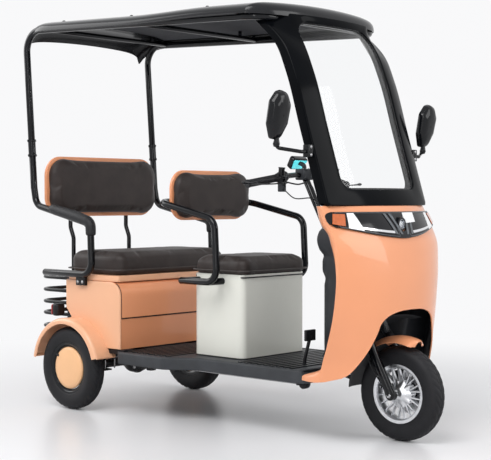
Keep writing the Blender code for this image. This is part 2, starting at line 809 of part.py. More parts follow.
def make_fork():
    stem = drum("front_fork", steer_point(CROWN_RISE), steer_point(BAR_RISE), STEM_RADIUS, 14)
    extras = []
    half = CROWN_THICKNESS / 2
    boss = (steer_point(CROWN_RISE - half), steer_point(CROWN_RISE + half))
    extras.append(drum("crown_boss", *boss, CROWN_BOSS_RADIUS, 16))
    for side in (-1, 1):
        across = side * FORK_HALF_WIDTH
        low = steer_point(0.0, FORK_OFFSET, across)
        knee = steer_point(SLIDER_LENGTH, FORK_OFFSET, across)
        top = steer_point(CROWN_RISE + half, FORK_OFFSET, across)
        extras.append(drum("slider", low, knee, SLIDER_RADIUS, 12))
        inside = steer_point(SLIDER_LENGTH / 2, FORK_OFFSET, across)
        extras.append(drum("stanchion", inside, top, STANCHION_RADIUS, 10))
        lug_in = steer_point(0.0, FORK_OFFSET, side * (FORK_HALF_WIDTH - SLIDER_RADIUS / 2))
        lug_out = steer_point(0.0, FORK_OFFSET, side * (FORK_HALF_WIDTH + SLIDER_RADIUS))
        extras.append(drum("axle_lug", lug_in, lug_out, AXLE_LUG_RADIUS, 12))
        boss_rise = FENDER_RADIUS - FENDER_LIP * 0.6
        boss_in = steer_point(boss_rise, FORK_OFFSET, side * (FENDER_HALF_WIDTH + SEAT_GAP))
        boss_out = steer_point(boss_rise, FORK_OFFSET, across)
        extras.append(drum("fender_boss", boss_in, boss_out, FENDER_BOSS_RADIUS, 8))
    reach = FORK_HALF_WIDTH + STANCHION_RADIUS * 1.6
    bridge = (steer_point(CROWN_RISE, FORK_OFFSET, -reach), steer_point(CROWN_RISE, FORK_OFFSET, reach))
    extras.append(drum("crown_bridge", *bridge, CROWN_BRIDGE_RADIUS, 16))
    wide = Vector((0.0, FORK_HALF_WIDTH + SLIDER_RADIUS / 2, 0.0))
    extras.append(drum("axle", FRONT_AXLE - wide, FRONT_AXLE + wide, FRONT_AXLE_RADIUS, 12))
    fuse(stem, *extras, solver="MANIFOLD")
    return finish_piece(stem, FRAME_BLACK, STEER_FOOT)


def grip_end(side, reach):
    """A point on the bar's outer stretch, which sweeps back and drops outwards."""
    share = (reach - GRIP_INNER_REACH) / (GRIP_OUTER_REACH - GRIP_INNER_REACH)
    top = steer_point(BAR_RISE)
    return top + Vector((-GRIP_SWEEP * share, side * reach, -GRIP_DROP / 3 - GRIP_DROP * share * 2 / 3))


def make_handlebar():
    top = steer_point(BAR_RISE)
    points = [grip_end(-1, GRIP_OUTER_REACH), grip_end(-1, GRIP_INNER_REACH - SWITCH_LENGTH)]
    points += [top - Vector((0.0, BAR_CENTRE_REACH, 0.0)), top + Vector((0.0, BAR_CENTRE_REACH, 0.0))]
    points += [grip_end(1, GRIP_INNER_REACH - SWITCH_LENGTH), grip_end(1, GRIP_OUTER_REACH)]
    bar = tube("handlebar", rounded(points, BAR_CENTRE_REACH, 2), BAR_RADIUS, 2)
    reach = STEM_RADIUS * 2
    extras = [
        block(
            "clamp",
            top - Vector((reach, reach, BAR_CLAMP_RADIUS * 0.6)),
            top + Vector((reach, reach, BAR_CLAMP_RADIUS)),
            BAR_RADIUS / 2,
        )
    ]
    for side in (-1, 1):
        inner = grip_end(side, GRIP_INNER_REACH - SWITCH_LENGTH)
        outer = grip_end(side, GRIP_INNER_REACH - SEAT_GAP)
        extras.append(drum("switch", inner, outer, SWITCH_RADIUS, 12))
        middle = (inner + outer) / 2
        extras.append(
            block(
                "lock_block",
                middle + Vector((-LOCK_BLOCK_WIDTH / 2, -LOCK_BLOCK_WIDTH / 2, -LOCK_BLOCK_DROP)),
                middle + Vector((LOCK_BLOCK_WIDTH / 2, LOCK_BLOCK_WIDTH / 2, 0.0)),
                LOCK_BLOCK_WIDTH / 6, 1,
            )
        )
        drop = Vector((LEVER_LEAD, 0.0, -LEVER_DROP))
        root = middle + drop
        knee = grip_end(side, GRIP_INNER_REACH + SWITCH_LENGTH) + drop
        tip = grip_end(side, LEVER_TIP_REACH) + drop
        path = rounded((middle, root, knee, tip), LEVER_WIDTH, 2)
        extras.append(tube("lever", path, LEVER_THICKNESS / 2, 1))
    fuse(bar, *extras)
    socket = (steer_point(HEAD_TUBE_START), steer_point(BAR_RISE + SEAT_GAP))
    cut(bar, drum("stem_socket", *socket, STEM_RADIUS + SEAT_GAP))
    return finish_piece(bar, BLACK, STEER_FOOT)


def make_grip(label, side):
    inner = grip_end(side, GRIP_INNER_REACH)
    outer = grip_end(side, GRIP_OUTER_REACH + GRIP_RADIUS / 2)
    run = (outer - inner).length
    bore = BAR_RADIUS + SEAT_GAP
    depth = (grip_end(side, GRIP_OUTER_REACH) - inner).length + SEAT_GAP
    profile = [
        (0.0, run),
        (GRIP_RADIUS * 0.85, run),
        (GRIP_RADIUS * 1.08, run - GRIP_RADIUS / 3),
        (GRIP_RADIUS * 0.98, run - GRIP_RADIUS),
        (GRIP_RADIUS * 0.92, run / 2),
        (GRIP_RADIUS, GRIP_RADIUS),
        (GRIP_RADIUS * 1.15, GRIP_RADIUS / 2),
        (GRIP_RADIUS * 1.15, 0.0),
        (bore, 0.0),
        (bore, depth),
        (0.0, depth),
    ]
    grip = as_mesh(turned("grip_" + label, profile, inner, (outer - inner).normalized(), 14))
    return finish_piece(grip, RUBBER, STEER_FOOT)


def make_display():
    """A tilted instrument: wide at the top, on a stalk that stands on the bar clamp."""
    half = DISPLAY_WIDTH / 2
    outline = rounded(
        (
            (-half * 0.72, -DISPLAY_HEIGHT / 2, 0.0), (half * 0.72, -DISPLAY_HEIGHT / 2, 0.0),
            (half, DISPLAY_HEIGHT / 2, 0.0), (-half, DISPLAY_HEIGHT / 2, 0.0),
        ),
        DISPLAY_HEIGHT / 5, 3, closed=True,
    )
    unit = slab("display_unit", outline, DISPLAY_DEPTH, "front")
    centre = steer_point(BAR_RISE) + Vector((-DISPLAY_SETBACK, 0.0, DISPLAY_RISE))
    unit.data.transform(Matrix.Translation(centre) @ Matrix.Rotation(DISPLAY_TILT, 4, "Y"))
    foot = steer_point(BAR_RISE) + Vector((0.0, 0.0, BAR_CLAMP_RADIUS + SEAT_GAP))
    knee = foot + Vector((0.0, 0.0, DISPLAY_STALK_RADIUS * 1.5))
    inside = centre + Vector((DISPLAY_DEPTH / 3, 0.0, 0.0))
    stalk = tube("stalk", (foot, knee, inside), DISPLAY_STALK_RADIUS, 2)
    fuse(unit, stalk)
    return finish_piece(unit, BLACK, STEER_FOOT)


def arc_sheet(name, centre, radius, across, angles, thickness, lip=0.0):
    """A band bent round a wheel, its edges turned in towards the hub by the lip."""
    low, high = across
    if lip:
        stations = [(low, lip), (low, lip / 3), (low + (high - low) * 0.08, 0.0)]
        stations += [(low + high - place, fall) for place, fall in reversed(stations)]
    else:
        stations = [(low, 0.0), ((low + high) / 2, 0.0), (high, 0.0)]
    rows = []
    for angle in angles:
        row = []
        for place, fall in stations:
            reach = radius - fall
            row.append((centre.x + reach * math.cos(angle), place, centre.z + reach * math.sin(angle)))
        rows.append(row)
    return as_mesh(sheet(name, rows, thickness, 1.0))


def spread(first, last, count):
    return [first + (last - first) * index / (count - 1) for index in range(count)]


def make_front_fender():
    half = FENDER_HALF_WIDTH - FENDER_THICKNESS
    wide = (-half, half)
    inner = FENDER_RADIUS - FENDER_THICKNESS
    angles = spread(FENDER_FRONT_ANGLE, FENDER_REAR_ANGLE, 9)
    fender = arc_sheet("front_fender", FRONT_AXLE, inner, wide, angles, FENDER_THICKNESS, FENDER_LIP)
    finish_piece(fender, ORANGE, STEER_FOOT)
    gap = SEAT_GAP / FENDER_RADIUS
    angles = spread(FENDER_REAR_ANGLE + gap, FLAP_END_ANGLE, 4)
    flap = arc_sheet("mud_flap", FRONT_AXLE, inner, wide, angles, FENDER_THICKNESS)
    finish_piece(flap, RUBBER, STEER_FOOT)


def build_steering():
    make_fork()
    make_handlebar()
    for label, side in SIDES:
        make_grip(label, side)
    make_display()
    make_front_fender()


# Floor and main frame

def floor_outline(inset):
    wide = FLOOR_WIDE_HALF - inset
    narrow = FLOOR_NARROW_HALF - inset
    rear = FLOOR_REAR + inset
    front = FLOOR_FRONT - inset
    half = (
        (rear, wide, 0.0), (FLOOR_WIDE_END, wide, 0.0),
        (FLOOR_TAPER_END, narrow, 0.0), (front, narrow, 0.0),
    )
    points = list(half) + [(x, -y, 0.0) for x, y, _ in reversed(half)]
    return rounded(points, FLOOR_CORNER, 3, closed=True)


def build_floor():
    thickness = FLOOR_TOP - FLOOR_BOTTOM
    middle = (0.0, 0.0, (FLOOR_TOP + FLOOR_BOTTOM) / 2)
    board = slab("floor_board", floor_outline(0.0), thickness, "plan", middle)
    below = thickness - FLOOR_PLATE + OVERRUN
    middle = (0.0, 0.0, FLOOR_TOP - FLOOR_PLATE - below / 2)
    cut(board, slab("floor_hollow", floor_outline(FLOOR_SKIRT), below, "plan", middle))
    gate_half = RAIL_HALF_GAUGE + RAIL_RADIUS * 2
    gate = block(
        "rail_gate",
        (FLOOR_REAR - OVERRUN, -gate_half, FLOOR_BOTTOM - OVERRUN),
        (FLOOR_REAR + FLOOR_SKIRT * 2, gate_half, FLOOR_TOP - FLOOR_PLATE),
    )
    notch_half = DOWN_TUBE_RADIUS + PIN_GAP
    notch_rear = RAIL_FRONT - RAIL_RADIUS - DOWN_TUBE_RADIUS - PIN_GAP
    notch = block(
        "down_tube_notch",
        (notch_rear, -notch_half, FLOOR_BOTTOM - OVERRUN),
        (FLOOR_FRONT + OVERRUN, notch_half, FLOOR_TOP + OVERRUN),
    )
    cut(board, gate, notch)
    slot = block(
        "pedal_slot",
        (PEDAL_PIVOT_X - PEDAL_SLOT_LENGTH / 2, PEDAL_Y - PEDAL_SLOT_WIDTH / 2, FLOOR_BOTTOM),
        (PEDAL_PIVOT_X + PEDAL_SLOT_LENGTH / 2, PEDAL_Y + PEDAL_SLOT_WIDTH / 2, FLOOR_TOP + OVERRUN),
    )
    cut(board, slot)
    finish_piece(board, FLOOR_GREY)


def rail_height(under):
    return under - SEAT_GAP - RAIL_RADIUS


def build_frame():
    low = rail_height(FLOOR_TOP - FLOOR_PLATE)
    high = rail_height(BOX_BOTTOM)
    pieces = []
    for side in (-1, 1):
        gauge = side * RAIL_HALF_GAUGE
        points = (
            (RAIL_FRONT, gauge, low), (RAIL_KICK, gauge, low),
            (RAIL_KICK - RAIL_BEND, gauge, high), (RAIL_REAR, gauge, high),
        )
        pieces.append(tube("main_frame", rounded(points, RAIL_BEND, 2), RAIL_RADIUS))
    frame = pieces[0]
    extras = [pieces[1]]
    for place in (RAIL_FRONT - RAIL_RADIUS, SEAT_BOX_FRONT, SEAT_BOX_REAR, RAIL_KICK + RAIL_BEND):
        ends = ((place, -RAIL_HALF_GAUGE, low), (place, RAIL_HALF_GAUGE, low))
        extras.append(tube("cross_member", ends, CROSS_RADIUS, 1))
    for place in (RAIL_REAR + RAIL_RADIUS, RAIL_KICK - RAIL_BEND - RAIL_RADIUS):
        ends = ((place, -RAIL_HALF_GAUGE, high), (place, RAIL_HALF_GAUGE, high))
        extras.append(tube("rear_cross_member", ends, CROSS_RADIUS, 1))
    head_low = steer_point(HEAD_TUBE_START + HEAD_TUBE_LENGTH * 0.12)
    start = (RAIL_FRONT - RAIL_RADIUS, 0.0, low)
    knee = (DOWN_TUBE_KNEE_X, 0.0, DOWN_TUBE_KNEE_Z)
    extras.append(tube("down_tube", rounded((start, knee, head_low), RAIL_BEND, 3), DOWN_TUBE_RADIUS))
    tube_ends = (steer_point(HEAD_TUBE_START), steer_point(HEAD_TUBE_START + HEAD_TUBE_LENGTH))
    extras.append(drum("head_tube", *tube_ends, HEAD_TUBE_RADIUS, 14))
    stay_share = (SHIELD_STAY_HEIGHT - SHIELD_FOOT) / (SHIELD_TOP - SHIELD_FOOT)
    middles = [shield_middle(share) for share in SHIELD_ROW_SHARES]
    stay_end = np.interp(stay_share, SHIELD_ROW_SHARES, middles) - SHIELD_WALL * 1.2 - SEAT_GAP * 2
    rise = (SHIELD_STAY_HEIGHT - STEER_FOOT.z) / STEER_DIRECTION.z
    extras.append(
        block(
            "shield_stay",
            (steer_point(rise).x, -SHIELD_STAY_WIDTH / 2, SHIELD_STAY_HEIGHT - SHIELD_STAY_THICKNESS),
            (stay_end, SHIELD_STAY_WIDTH / 2, SHIELD_STAY_HEIGHT),
        )
    )
    fuse(frame, *extras)
    bore_ends = (steer_point(CROWN_RISE), steer_point(HEAD_TUBE_START + HEAD_TUBE_LENGTH + OVERRUN))
    cut(frame, drum("head_bore", *bore_ends, STEM_RADIUS + PIN_GAP))
    finish_piece(frame, FRAME_BLACK)


# Front shield, lamps and inner leg shield

def shield_middle(share):
    return SHIELD_NOSE - SHIELD_NOSE_FALL * follow(NOSE_SHARES, share)


def shield_edge(share):
    return SHIELD_EDGE_X - SHIELD_EDGE_FALL * follow(EDGE_SHARES, share)


def shield_rear(share):
    return SHIELD_REAR_X - SHIELD_REAR_FALL * follow(REAR_SHARES, share)


def shield_height(share):
    return SHIELD_FOOT + (SHIELD_TOP - SHIELD_FOOT) * share


def shield_point(share, across, proud=0.0):
    """A point on the shield's front, by its shares of height and half width."""
    middle = shield_middle(share) + proud
    edge = shield_edge(share) + proud * 0.6
    x = middle - (middle - edge) * abs(across) ** SHIELD_ROUND_SHARE
    return (x, (SHIELD_HALF_WIDTH + proud) * across, shield_height(share))


def shield_row(share):
    """One level of the sheet: back edge, side wall, front, side wall, back edge."""
    half = [shield_point(share, across) for across in SHIELD_ACROSS_SHARES]
    edge = shield_edge(share)
    rear = min(shield_rear(share), edge - SHIELD_WALL * 2)
    height = shield_height(share)
    for part in (0.35, 1.0):
        half.append((edge + (rear - edge) * part, SHIELD_HALF_WIDTH - SHIELD_TUCK * part ** 2, height))
    other = [(x, -y, z) for x, y, z in reversed(half[1:])]
    return other + half


def lamp_hole(back, face):
    ends = ((back - OVERRUN, 0.0, LAMP_HEIGHT), (face + OVERRUN * 2, 0.0, LAMP_HEIGHT))
    return drum("lamp_hole", *ends, LAMP_RADIUS / math.cos(math.pi / LAMP_STEPS) + SEAT_GAP, LAMP_STEPS)


def build_front_shield():
    rows = [shield_row(share) for share in SHIELD_ROW_SHARES]
    shield = as_mesh(sheet("front_shield", rows, SHIELD_WALL))
    share = (LAMP_HEIGHT - SHIELD_FOOT) / (SHIELD_TOP - SHIELD_FOOT)
    cut(shield, lamp_hole(shield_middle(share) - LAMP_BODY, shield_middle(share)))
    half = [(share * ARCH_HALF_WIDTH, ARCH_TOP - ARCH_DEPTH * (1 - rise)) for share, rise in ARCH_SHARES]
    outline = half + [(-y, z) for y, z in reversed(half[1:])]
    depth = SHIELD_NOSE + OVERRUN - ARCH_REAR
    middle = (ARCH_REAR + depth / 2, 0.0, 0.0)
    cut(shield, slab("wheel_arch", outline, depth, "front", middle))
    finish_piece(shield, ORANGE)


def band_rows(first, last, count):
    """The lamp band's front between two shares of half width, low edge first."""
    top = (BAND_TOP - SHIELD_FOOT) / (SHIELD_TOP - SHIELD_FOOT)
    rows = []
    for level in (0.0, 0.5, 1.0):
        row = []
        for across in spread(first, last, count):
            bow = max(0.0, 1 - abs(across) ** 1.6)
            depth = BAND_END_DEPTH + (BAND_MIDDLE_DEPTH - BAND_END_DEPTH) * bow
            share = top - depth * (1 - level) / (SHIELD_TOP - SHIELD_FOOT)
            row.append(shield_point(share, across, BAND_PROUD))
        rows.append(row)
    return rows


def build_lamps():
    wall = BAND_PROUD * 0.62
    band = sheet("headlamp_panel", band_rows(-BAND_HALF_SHARE, BAND_HALF_SHARE, 13), wall)
    band = as_mesh(band)
    share = (LAMP_HEIGHT - SHIELD_FOOT) / (SHIELD_TOP - SHIELD_FOOT)
    face = shield_middle(share) + BAND_PROUD + LAMP_PROUD
    back = shield_middle(share) - LAMP_BODY
    cut(band, lamp_hole(back, face))
    finish_piece(band, BLACK)
    depth = face - back
    profile = [
        (0.0, depth - LAMP_RIM), (LAMP_RADIUS - 2 * LAMP_RIM, depth - LAMP_RIM * 1.6),
        (LAMP_RADIUS - LAMP_RIM, depth - LAMP_RIM), (LAMP_RADIUS - LAMP_RIM, depth),
        (LAMP_RADIUS, depth), (LAMP_RADIUS, 0.0), (0.0, 0.0),
    ]
    lamp = as_mesh(turned("headlamp", profile, (back, 0.0, LAMP_HEIGHT), (1.0, 0.0, 0.0), LAMP_STEPS))
    finish_piece(lamp, SILVER)
    gap = SEAT_GAP / SHIELD_HALF_WIDTH * 2
    for label, side in SIDES:
        ends = sorted((side * (BAND_HALF_SHARE + gap), side))
        rows = band_rows(ends[0], ends[1], 4)
        lens = as_mesh(sheet("indicator_" + label, rows, wall))
        finish_piece(lens, AMBER)


def leg_point(share, across):
    """The inner shield: flat flanks, and a tunnel that swells back round the column."""
    height = FLOOR_TOP + SEAT_GAP + (LEG_TOP - FLOOR_TOP) * share
    level = (height - SHIELD_FOOT) / (SHIELD_TOP - SHIELD_FOOT)
    flank = shield_rear(level) + LEG_OVERLAP
    foot = FLOOR_FRONT - LEG_OVERLAP
    blend = min(1.0, share / LEG_ROW_SHARES[2])
    flank = foot + (flank - foot) * blend
    half = SHIELD_HALF_WIDTH - LEG_EDGE_GAP
    y = half * across
    fade = min(max((abs(y) - TUNNEL_HALF_WIDTH) / TUNNEL_FLARE, 0.0), 1.0)
    bump = 1 - fade * fade * (3 - 2 * fade)
    tunnel = min(TUNNEL_REAR_X - TUNNEL_REACH * follow(TUNNEL_SHARES, share), flank)
    return (flank + (tunnel - flank) * bump, y, height)


def build_leg_shield():
    across = [-1.0, -0.80, -0.62, -0.52, -0.44, -0.36, -0.28]
    across += [0.0] + [-place for place in reversed(across)]
    rows = [[leg_point(share, place) for place in across] for share in LEG_ROW_SHARES]
    panel = as_mesh(sheet("inner_leg_shield", rows, LEG_WALL, -1.0))
    ends = (steer_point(HEAD_TUBE_START), steer_point(BAR_RISE))
    cut(panel, drum("column_hole", *ends, COLUMN_HOLE_RADIUS))
    finish_piece(panel, FLOOR_GREY)


# Windscreen, roof and canopy frame

def screen_point(share, across, setback=0.0):
    beyond = min(share, 0.0) + max(share - 1.0, 0.0)
    x = SCREEN_FOOT_X - SCREEN_FALL * (follow(SCREEN_SHARES, share) + beyond) - setback
    x += SCREEN_BOW * (1 - across * across)
    return (x, SCREEN_HALF_WIDTH * across, SCREEN_BOTTOM + (SCREEN_TOP - SCREEN_BOTTOM) * share)


def pane_outline(inset):
    half = PANE_HALF_WIDTH - inset
    low = PANE_BOTTOM + inset
    high = PANE_TOP - inset
    points = ((-half, low, 0.0), (half, low, 0.0), (half, high, 0.0), (-half, high, 0.0))
    return rounded(points, PANE_CORNER - inset, 4, closed=True)


def pane_cutter(name, inset):
    depth = SCREEN_FALL + SCREEN_BOW + 4 * SCREEN_DEPTH
    middle = (SCREEN_FOOT_X + SCREEN_BOW - SCREEN_FALL / 2, 0.0, 0.0)
    return slab(name, pane_outline(inset), depth, "front", middle)


def build_windscreen():
    across = spread(-1.0, 1.0, 9)
    lap = SCREEN_DEPTH / (SCREEN_TOP - SCREEN_BOTTOM)
    shares = [-lap] + spread(0.0, 1.0, 9) + [1.0 + lap]
    rows = [[screen_point(share, place) for place in across] for share in shares]
    frame = as_mesh(sheet("windscreen_frame", rows, SCREEN_DEPTH))
    wide = SCREEN_HALF_WIDTH + OVERRUN
    rear = SCREEN_FOOT_X - SCREEN_FALL - 3 * SCREEN_DEPTH
    front = SCREEN_FOOT_X + SCREEN_BOW + 3 * SCREEN_DEPTH
    foot = block("foot_trim", (rear, -wide, SCREEN_BOTTOM - 3 * SCREEN_DEPTH), (front, wide, SCREEN_BOTTOM))
    head = block("head_trim", (rear, -wide, SCREEN_TOP), (front, wide, SCREEN_TOP + 3 * SCREEN_DEPTH))
    cut(frame, foot, head, pane_cutter("pane_opening", 0.0))
    finish_piece(frame, BLACK)
    setback = SCREEN_DEPTH / 4
    rows = [[screen_point(share, place, setback) for place in across[1:-1]] for share in shares]
    pane = as_mesh(sheet("windscreen_glass", rows, PANE_THICKNESS))
    combine(pane, pane_cutter("pane_shape", SEAT_GAP), "INTERSECT")
    finish_piece(pane, GLASS)


def roof_point(along, across, drop=0.0, inset=0.0):
    """The roof's skin: a low crown with rolled sides, front and rear."""
    rear = ROOF_REAR + inset
    front = ROOF_FRONT - inset - ROOF_FRONT_BOW * across * across
    x = rear + (front - rear) * along
    edge = max(1 - abs(across) ** 9, 0.0) ** 0.34
    nose = max(1 - max(0.0, (along - 0.93) / 0.07) ** 4, 0.0) ** 0.4
    crest = ROOF_CREST - ROOF_PITCH_SHARE * (x - ROOF_REAR)
    tail = max(0.0, 1 - (x - ROOF_REAR) / ROOF_REAR_RUN)
    crest -= ROOF_REAR_DROP * tail ** 2.6
    lift = ROOF_SKIRT * min(edge, nose) + ROOF_CROWN * (1 - across * across) * nose
    return (x, (ROOF_HALF_WIDTH - inset) * across, crest - ROOF_SKIRT + lift - drop)


def build_roof():
    half = list(ROOF_ACROSS_SHARES)
    across = [-place for place in reversed(half[1:])] + half
    rows = [[roof_point(place, side) for side in across] for place in ROOF_ALONG_SHARES]
    roof = as_mesh(sheet("roof_panel", rows, ROOF_WALL, 1.0))
    finish_piece(roof, BLACK)
    rows = [
        [roof_point(place, side, LINING_GAP, LINING_INSET) for side in LINING_ACROSS_SHARES]
        for place in LINING_ALONG_SHARES
    ]
    lining = as_mesh(sheet("roof_lining", rows, LINING_THICKNESS, 1.0))
    finish_piece(lining, GREY)


def skin_height(x, y, shares, gap, inset, wall):
    """The underside of the roof's skin, or of its lining, along its facets at a place."""
    along = (x - ROOF_REAR - inset) / (ROOF_FRONT - ROOF_REAR - 2 * inset)
    places = [side * (ROOF_HALF_WIDTH - inset) for side in shares]
    heights = [roof_point(along, side, gap, inset)[2] for side in shares]
    index = min(int(np.searchsorted(places, y, side="right")), len(places) - 1)
    slope = (heights[index] - heights[index - 1]) / (places[index] - places[index - 1])
    return heights[index] + slope * (y - places[index]) - wall * math.hypot(1.0, slope)


def canopy_height(x):
    share = (x - POLE_TOP_X) / (CANOPY_FRONT_X - POLE_TOP_X)
    return CANOPY_REAR_Z + (CANOPY_FRONT_Z - CANOPY_REAR_Z) * share


def build_canopy_frame():
    gauge = POLE_HALF_GAUGE
    half = [
        (POLE_JOIN_X, gauge, POLE_JOIN_Z + SEAT_GAP), (POLE_TOP_X, gauge, CANOPY_REAR_Z),
        (CANOPY_FRONT_X, gauge, CANOPY_FRONT_Z),
    ]
    points = half + [(x, -y, z) for x, y, z in reversed(half)]
    frame = tube("canopy_frame", rounded(points, CANOPY_BEND, 4), POLE_RADIUS)
    for place in CANOPY_CROSS_X:
        ends = ((place, -gauge, canopy_height(place)), (place, gauge, canopy_height(place)))
        fuse(frame, tube("roof_bar", ends, CANOPY_CROSS_RADIUS, 2))
        lining = skin_height(
            place, LINING_STAND_PLACE + STAND_HALF_WIDTH, LINING_ACROSS_SHARES,
            LINING_GAP, LINING_INSET, LINING_THICKNESS,
        )
        skin = skin_height(
            place, ROOF_STAND_PLACE + STAND_HALF_WIDTH, ROOF_ACROSS_SHARES, 0.0, 0.0, ROOF_WALL,
        )
        for side in (-1, 1):
            for spot, top in ((LINING_STAND_PLACE, lining), (ROOF_STAND_PLACE, skin)):
                foot = Vector((place, side * spot, canopy_height(place)))
                head = Vector((place, side * spot, top - 4 * SEAT_GAP))
                half = Vector((STAND_HALF_WIDTH, STAND_HALF_WIDTH, 0.0))
                fuse(frame, block("roof_stand", foot - half, head + half))
    finish_piece(frame, BLACK)


# Rear armrests

def post_path(side):
    gauge = side * POLE_HALF_GAUGE
    corners = (
        (POLE_JOIN_X, gauge, POLE_JOIN_Z), (POST_FOOT_X, gauge, POST_FOOT_Z),
        (POST_ARM_REAR_X, gauge, POST_ARM_REAR_Z), (POST_ARM_FRONT_X, gauge, POST_ARM_FRONT_Z),
        (POST_LOW_FRONT_X, gauge, POST_LOW_Z), (POST_TAIL_X, gauge, POST_LOW_Z),
    )
    return rounded(corners, POST_BEND, 4)


def make_arm_pad(label, side):
    """A bar-shaped pad that sits along the top of the armrest tube."""
    rear = Vector((POST_ARM_REAR_X, side * POLE_HALF_GAUGE, POST_ARM_REAR_Z))
    front = Vector((POST_ARM_FRONT_X, side * POLE_HALF_GAUGE, POST_ARM_FRONT_Z))
    run = front - rear
    slope = math.atan2(run.z, run.x)
    lift = POLE_RADIUS + SEAT_GAP
    length = run.length * (1 - PAD_START_SHARE) + PAD_OVERHANG
    pad = block(
        "armrest_pad_" + label,
        (0.0, -PAD_HALF_WIDTH, lift), (length, PAD_HALF_WIDTH, lift + PAD_THICKNESS), PAD_ROUND, 3,
    )
    start = rear + run * PAD_START_SHARE
    pad.data.transform(Matrix.Translation(start) @ Matrix.Rotation(-slope, 4, "Y"))
    return finish_piece(pad, RUBBER)


def build_rear_posts():
    for label, side in SIDES:
        post = tube("rear_post_" + label, post_path(side), POLE_RADIUS)
        lean = (POST_FOOT_X - POLE_JOIN_X) / (POLE_JOIN_Z - POST_FOOT_Z)
        top = Vector((POLE_JOIN_X, side * POLE_HALF_GAUGE, POLE_JOIN_Z))
        foot = top + Vector((lean * COLLAR_LENGTH, 0.0, -COLLAR_LENGTH))
        fuse(post, drum("collar", foot, top, COLLAR_RADIUS, 16), solver="MANIFOLD")
        near = side * (BOX_HALF_WIDTH + SEAT_GAP)
        far = side * (POLE_HALF_GAUGE - POLE_RADIUS / 4)
        low = (BRACKET_X - BRACKET_LENGTH / 2, min(near, far), POST_LOW_Z - BRACKET_HEIGHT)
        high = (BRACKET_X + BRACKET_LENGTH / 2, max(near, far), POST_LOW_Z + POLE_RADIUS / 3)
        fuse(post, block("bracket", low, high), solver="MANIFOLD")
        finish_piece(post, BLACK)
        make_arm_pad(label, side)


# Rear box, bench and backrest

def box_profile(inset, top):
    """The box's side view: stepped rear, rounded front shoulder; inset for the hollow."""
    rear = BOX_REAR + inset
    front = BOX_FRONT - inset
    outline = [(BOX_REAR_LOW + inset, BOX_BOTTOM + inset, 0.0), (front, BOX_BOTTOM + inset, 0.0)]
    shoulder = BOX_SHOULDER - inset
    outline.append((front, top - shoulder, 0.0))
    for step in range(1, 5):
        turn = math.radians(90) * step / 5
        x = front - shoulder * (1 - math.cos(turn))
        outline.append((x, top - shoulder * (1 - math.sin(turn)), 0.0))
    outline += [(front - shoulder, top, 0.0), (rear, top, 0.0)]
    outline += [(rear, BOX_CHAMFER_HIGH, 0.0), (BOX_REAR_LOW + inset, BOX_CHAMFER_LOW, 0.0)]
    return outline


def wheel_well(name, side):
    """The drum that a rear wheel's arch takes out of the box."""
    reach = GUARD_RADIUS / math.cos(math.pi / TURN_STEPS) + SEAT_GAP
    inner = GUARD_INNER_Y - SEAT_GAP
    outer = BOX_HALF_WIDTH + OVERRUN
    return drum(name, (0.0, side * inner, TYRE_RADIUS), (0.0, side * outer, TYRE_RADIUS), reach, TURN_STEPS)


def build_rear_box():
    body = slab("rear_box", box_profile(0.0, BOX_TOP), BOX_HALF_WIDTH * 2, "side")
    hollow_width = (BOX_HALF_WIDTH - BOX_WALL) * 2
    hollow = slab("box_hollow", box_profile(BOX_WALL, BOX_TOP - BOX_WALL), hollow_width, "side")
    mouth = block(
        "box_mouth",
        (BOX_REAR + BOX_MOUTH_MARGIN, -BOX_HALF_WIDTH + BOX_MOUTH_MARGIN, BOX_TOP - OVERRUN),
        (BOX_FRONT - BOX_SHOULDER - BOX_WALL, BOX_HALF_WIDTH - BOX_MOUTH_MARGIN, BOX_TOP + OVERRUN),
    )
    doorway = block(
        "doorway",
        (BOX_FRONT - BOX_SHOULDER, -DOOR_HALF_WIDTH, DOOR_LOW),
        (BOX_FRONT + OVERRUN, DOOR_HALF_WIDTH, DOOR_HIGH),
    )
    cut(body, hollow, mouth, doorway, wheel_well("well_right", -1), wheel_well("well_left", 1))
    finish_piece(body, ORANGE)


def build_box_door():
    """A drop door that fills its doorway and turns on pins at its lower edge."""
    gap = DOOR_GAP / 2
    half = DOOR_HALF_WIDTH - gap
    pivot = Vector((BOX_FRONT, 0.0, DOOR_LOW + gap + DOOR_HINGE_RADIUS))
    door = block(
        "box_door",
        (BOX_FRONT - BOX_WALL, -half, DOOR_LOW + gap + DOOR_HINGE_RADIUS / 2),
        (BOX_FRONT + DOOR_THICKNESS - BOX_WALL, half, DOOR_HIGH - gap),
    )
    reach = Vector((0.0, DOOR_HALF_WIDTH - SEAT_GAP, 0.0))
    fuse(door, drum("hinge_barrel", pivot - reach, pivot + reach, DOOR_HINGE_RADIUS, 10))
    return finish_piece(door, ORANGE, pivot)


def soft_block(name, low, high, edge, finish, pivot=None):
    pad = block(name, low, high, edge, 3)
    return finish_piece(pad, finish, pivot)


def build_bench():
    base = BOX_TOP + SEAT_GAP
    hinge = Vector((BENCH_REAR, 0.0, base + PAN_THICKNESS + SEAT_GAP))
    pan = block(
        "rear_seat_pan",
        (BOX_REAR, -PAN_HALF_WIDTH, base), (PAN_FRONT, PAN_HALF_WIDTH, base + PAN_THICKNESS),
    )
    finish_piece(pan, FRAME_BLACK, hinge)
    low = (BENCH_REAR, -BENCH_HALF_WIDTH, base + PAN_THICKNESS + SEAT_GAP)
    high = (BENCH_FRONT, BENCH_HALF_WIDTH, base + PAN_THICKNESS + BENCH_THICKNESS)
    soft_block("rear_cushion", low, high, BENCH_ROUND, LEATHER, hinge)


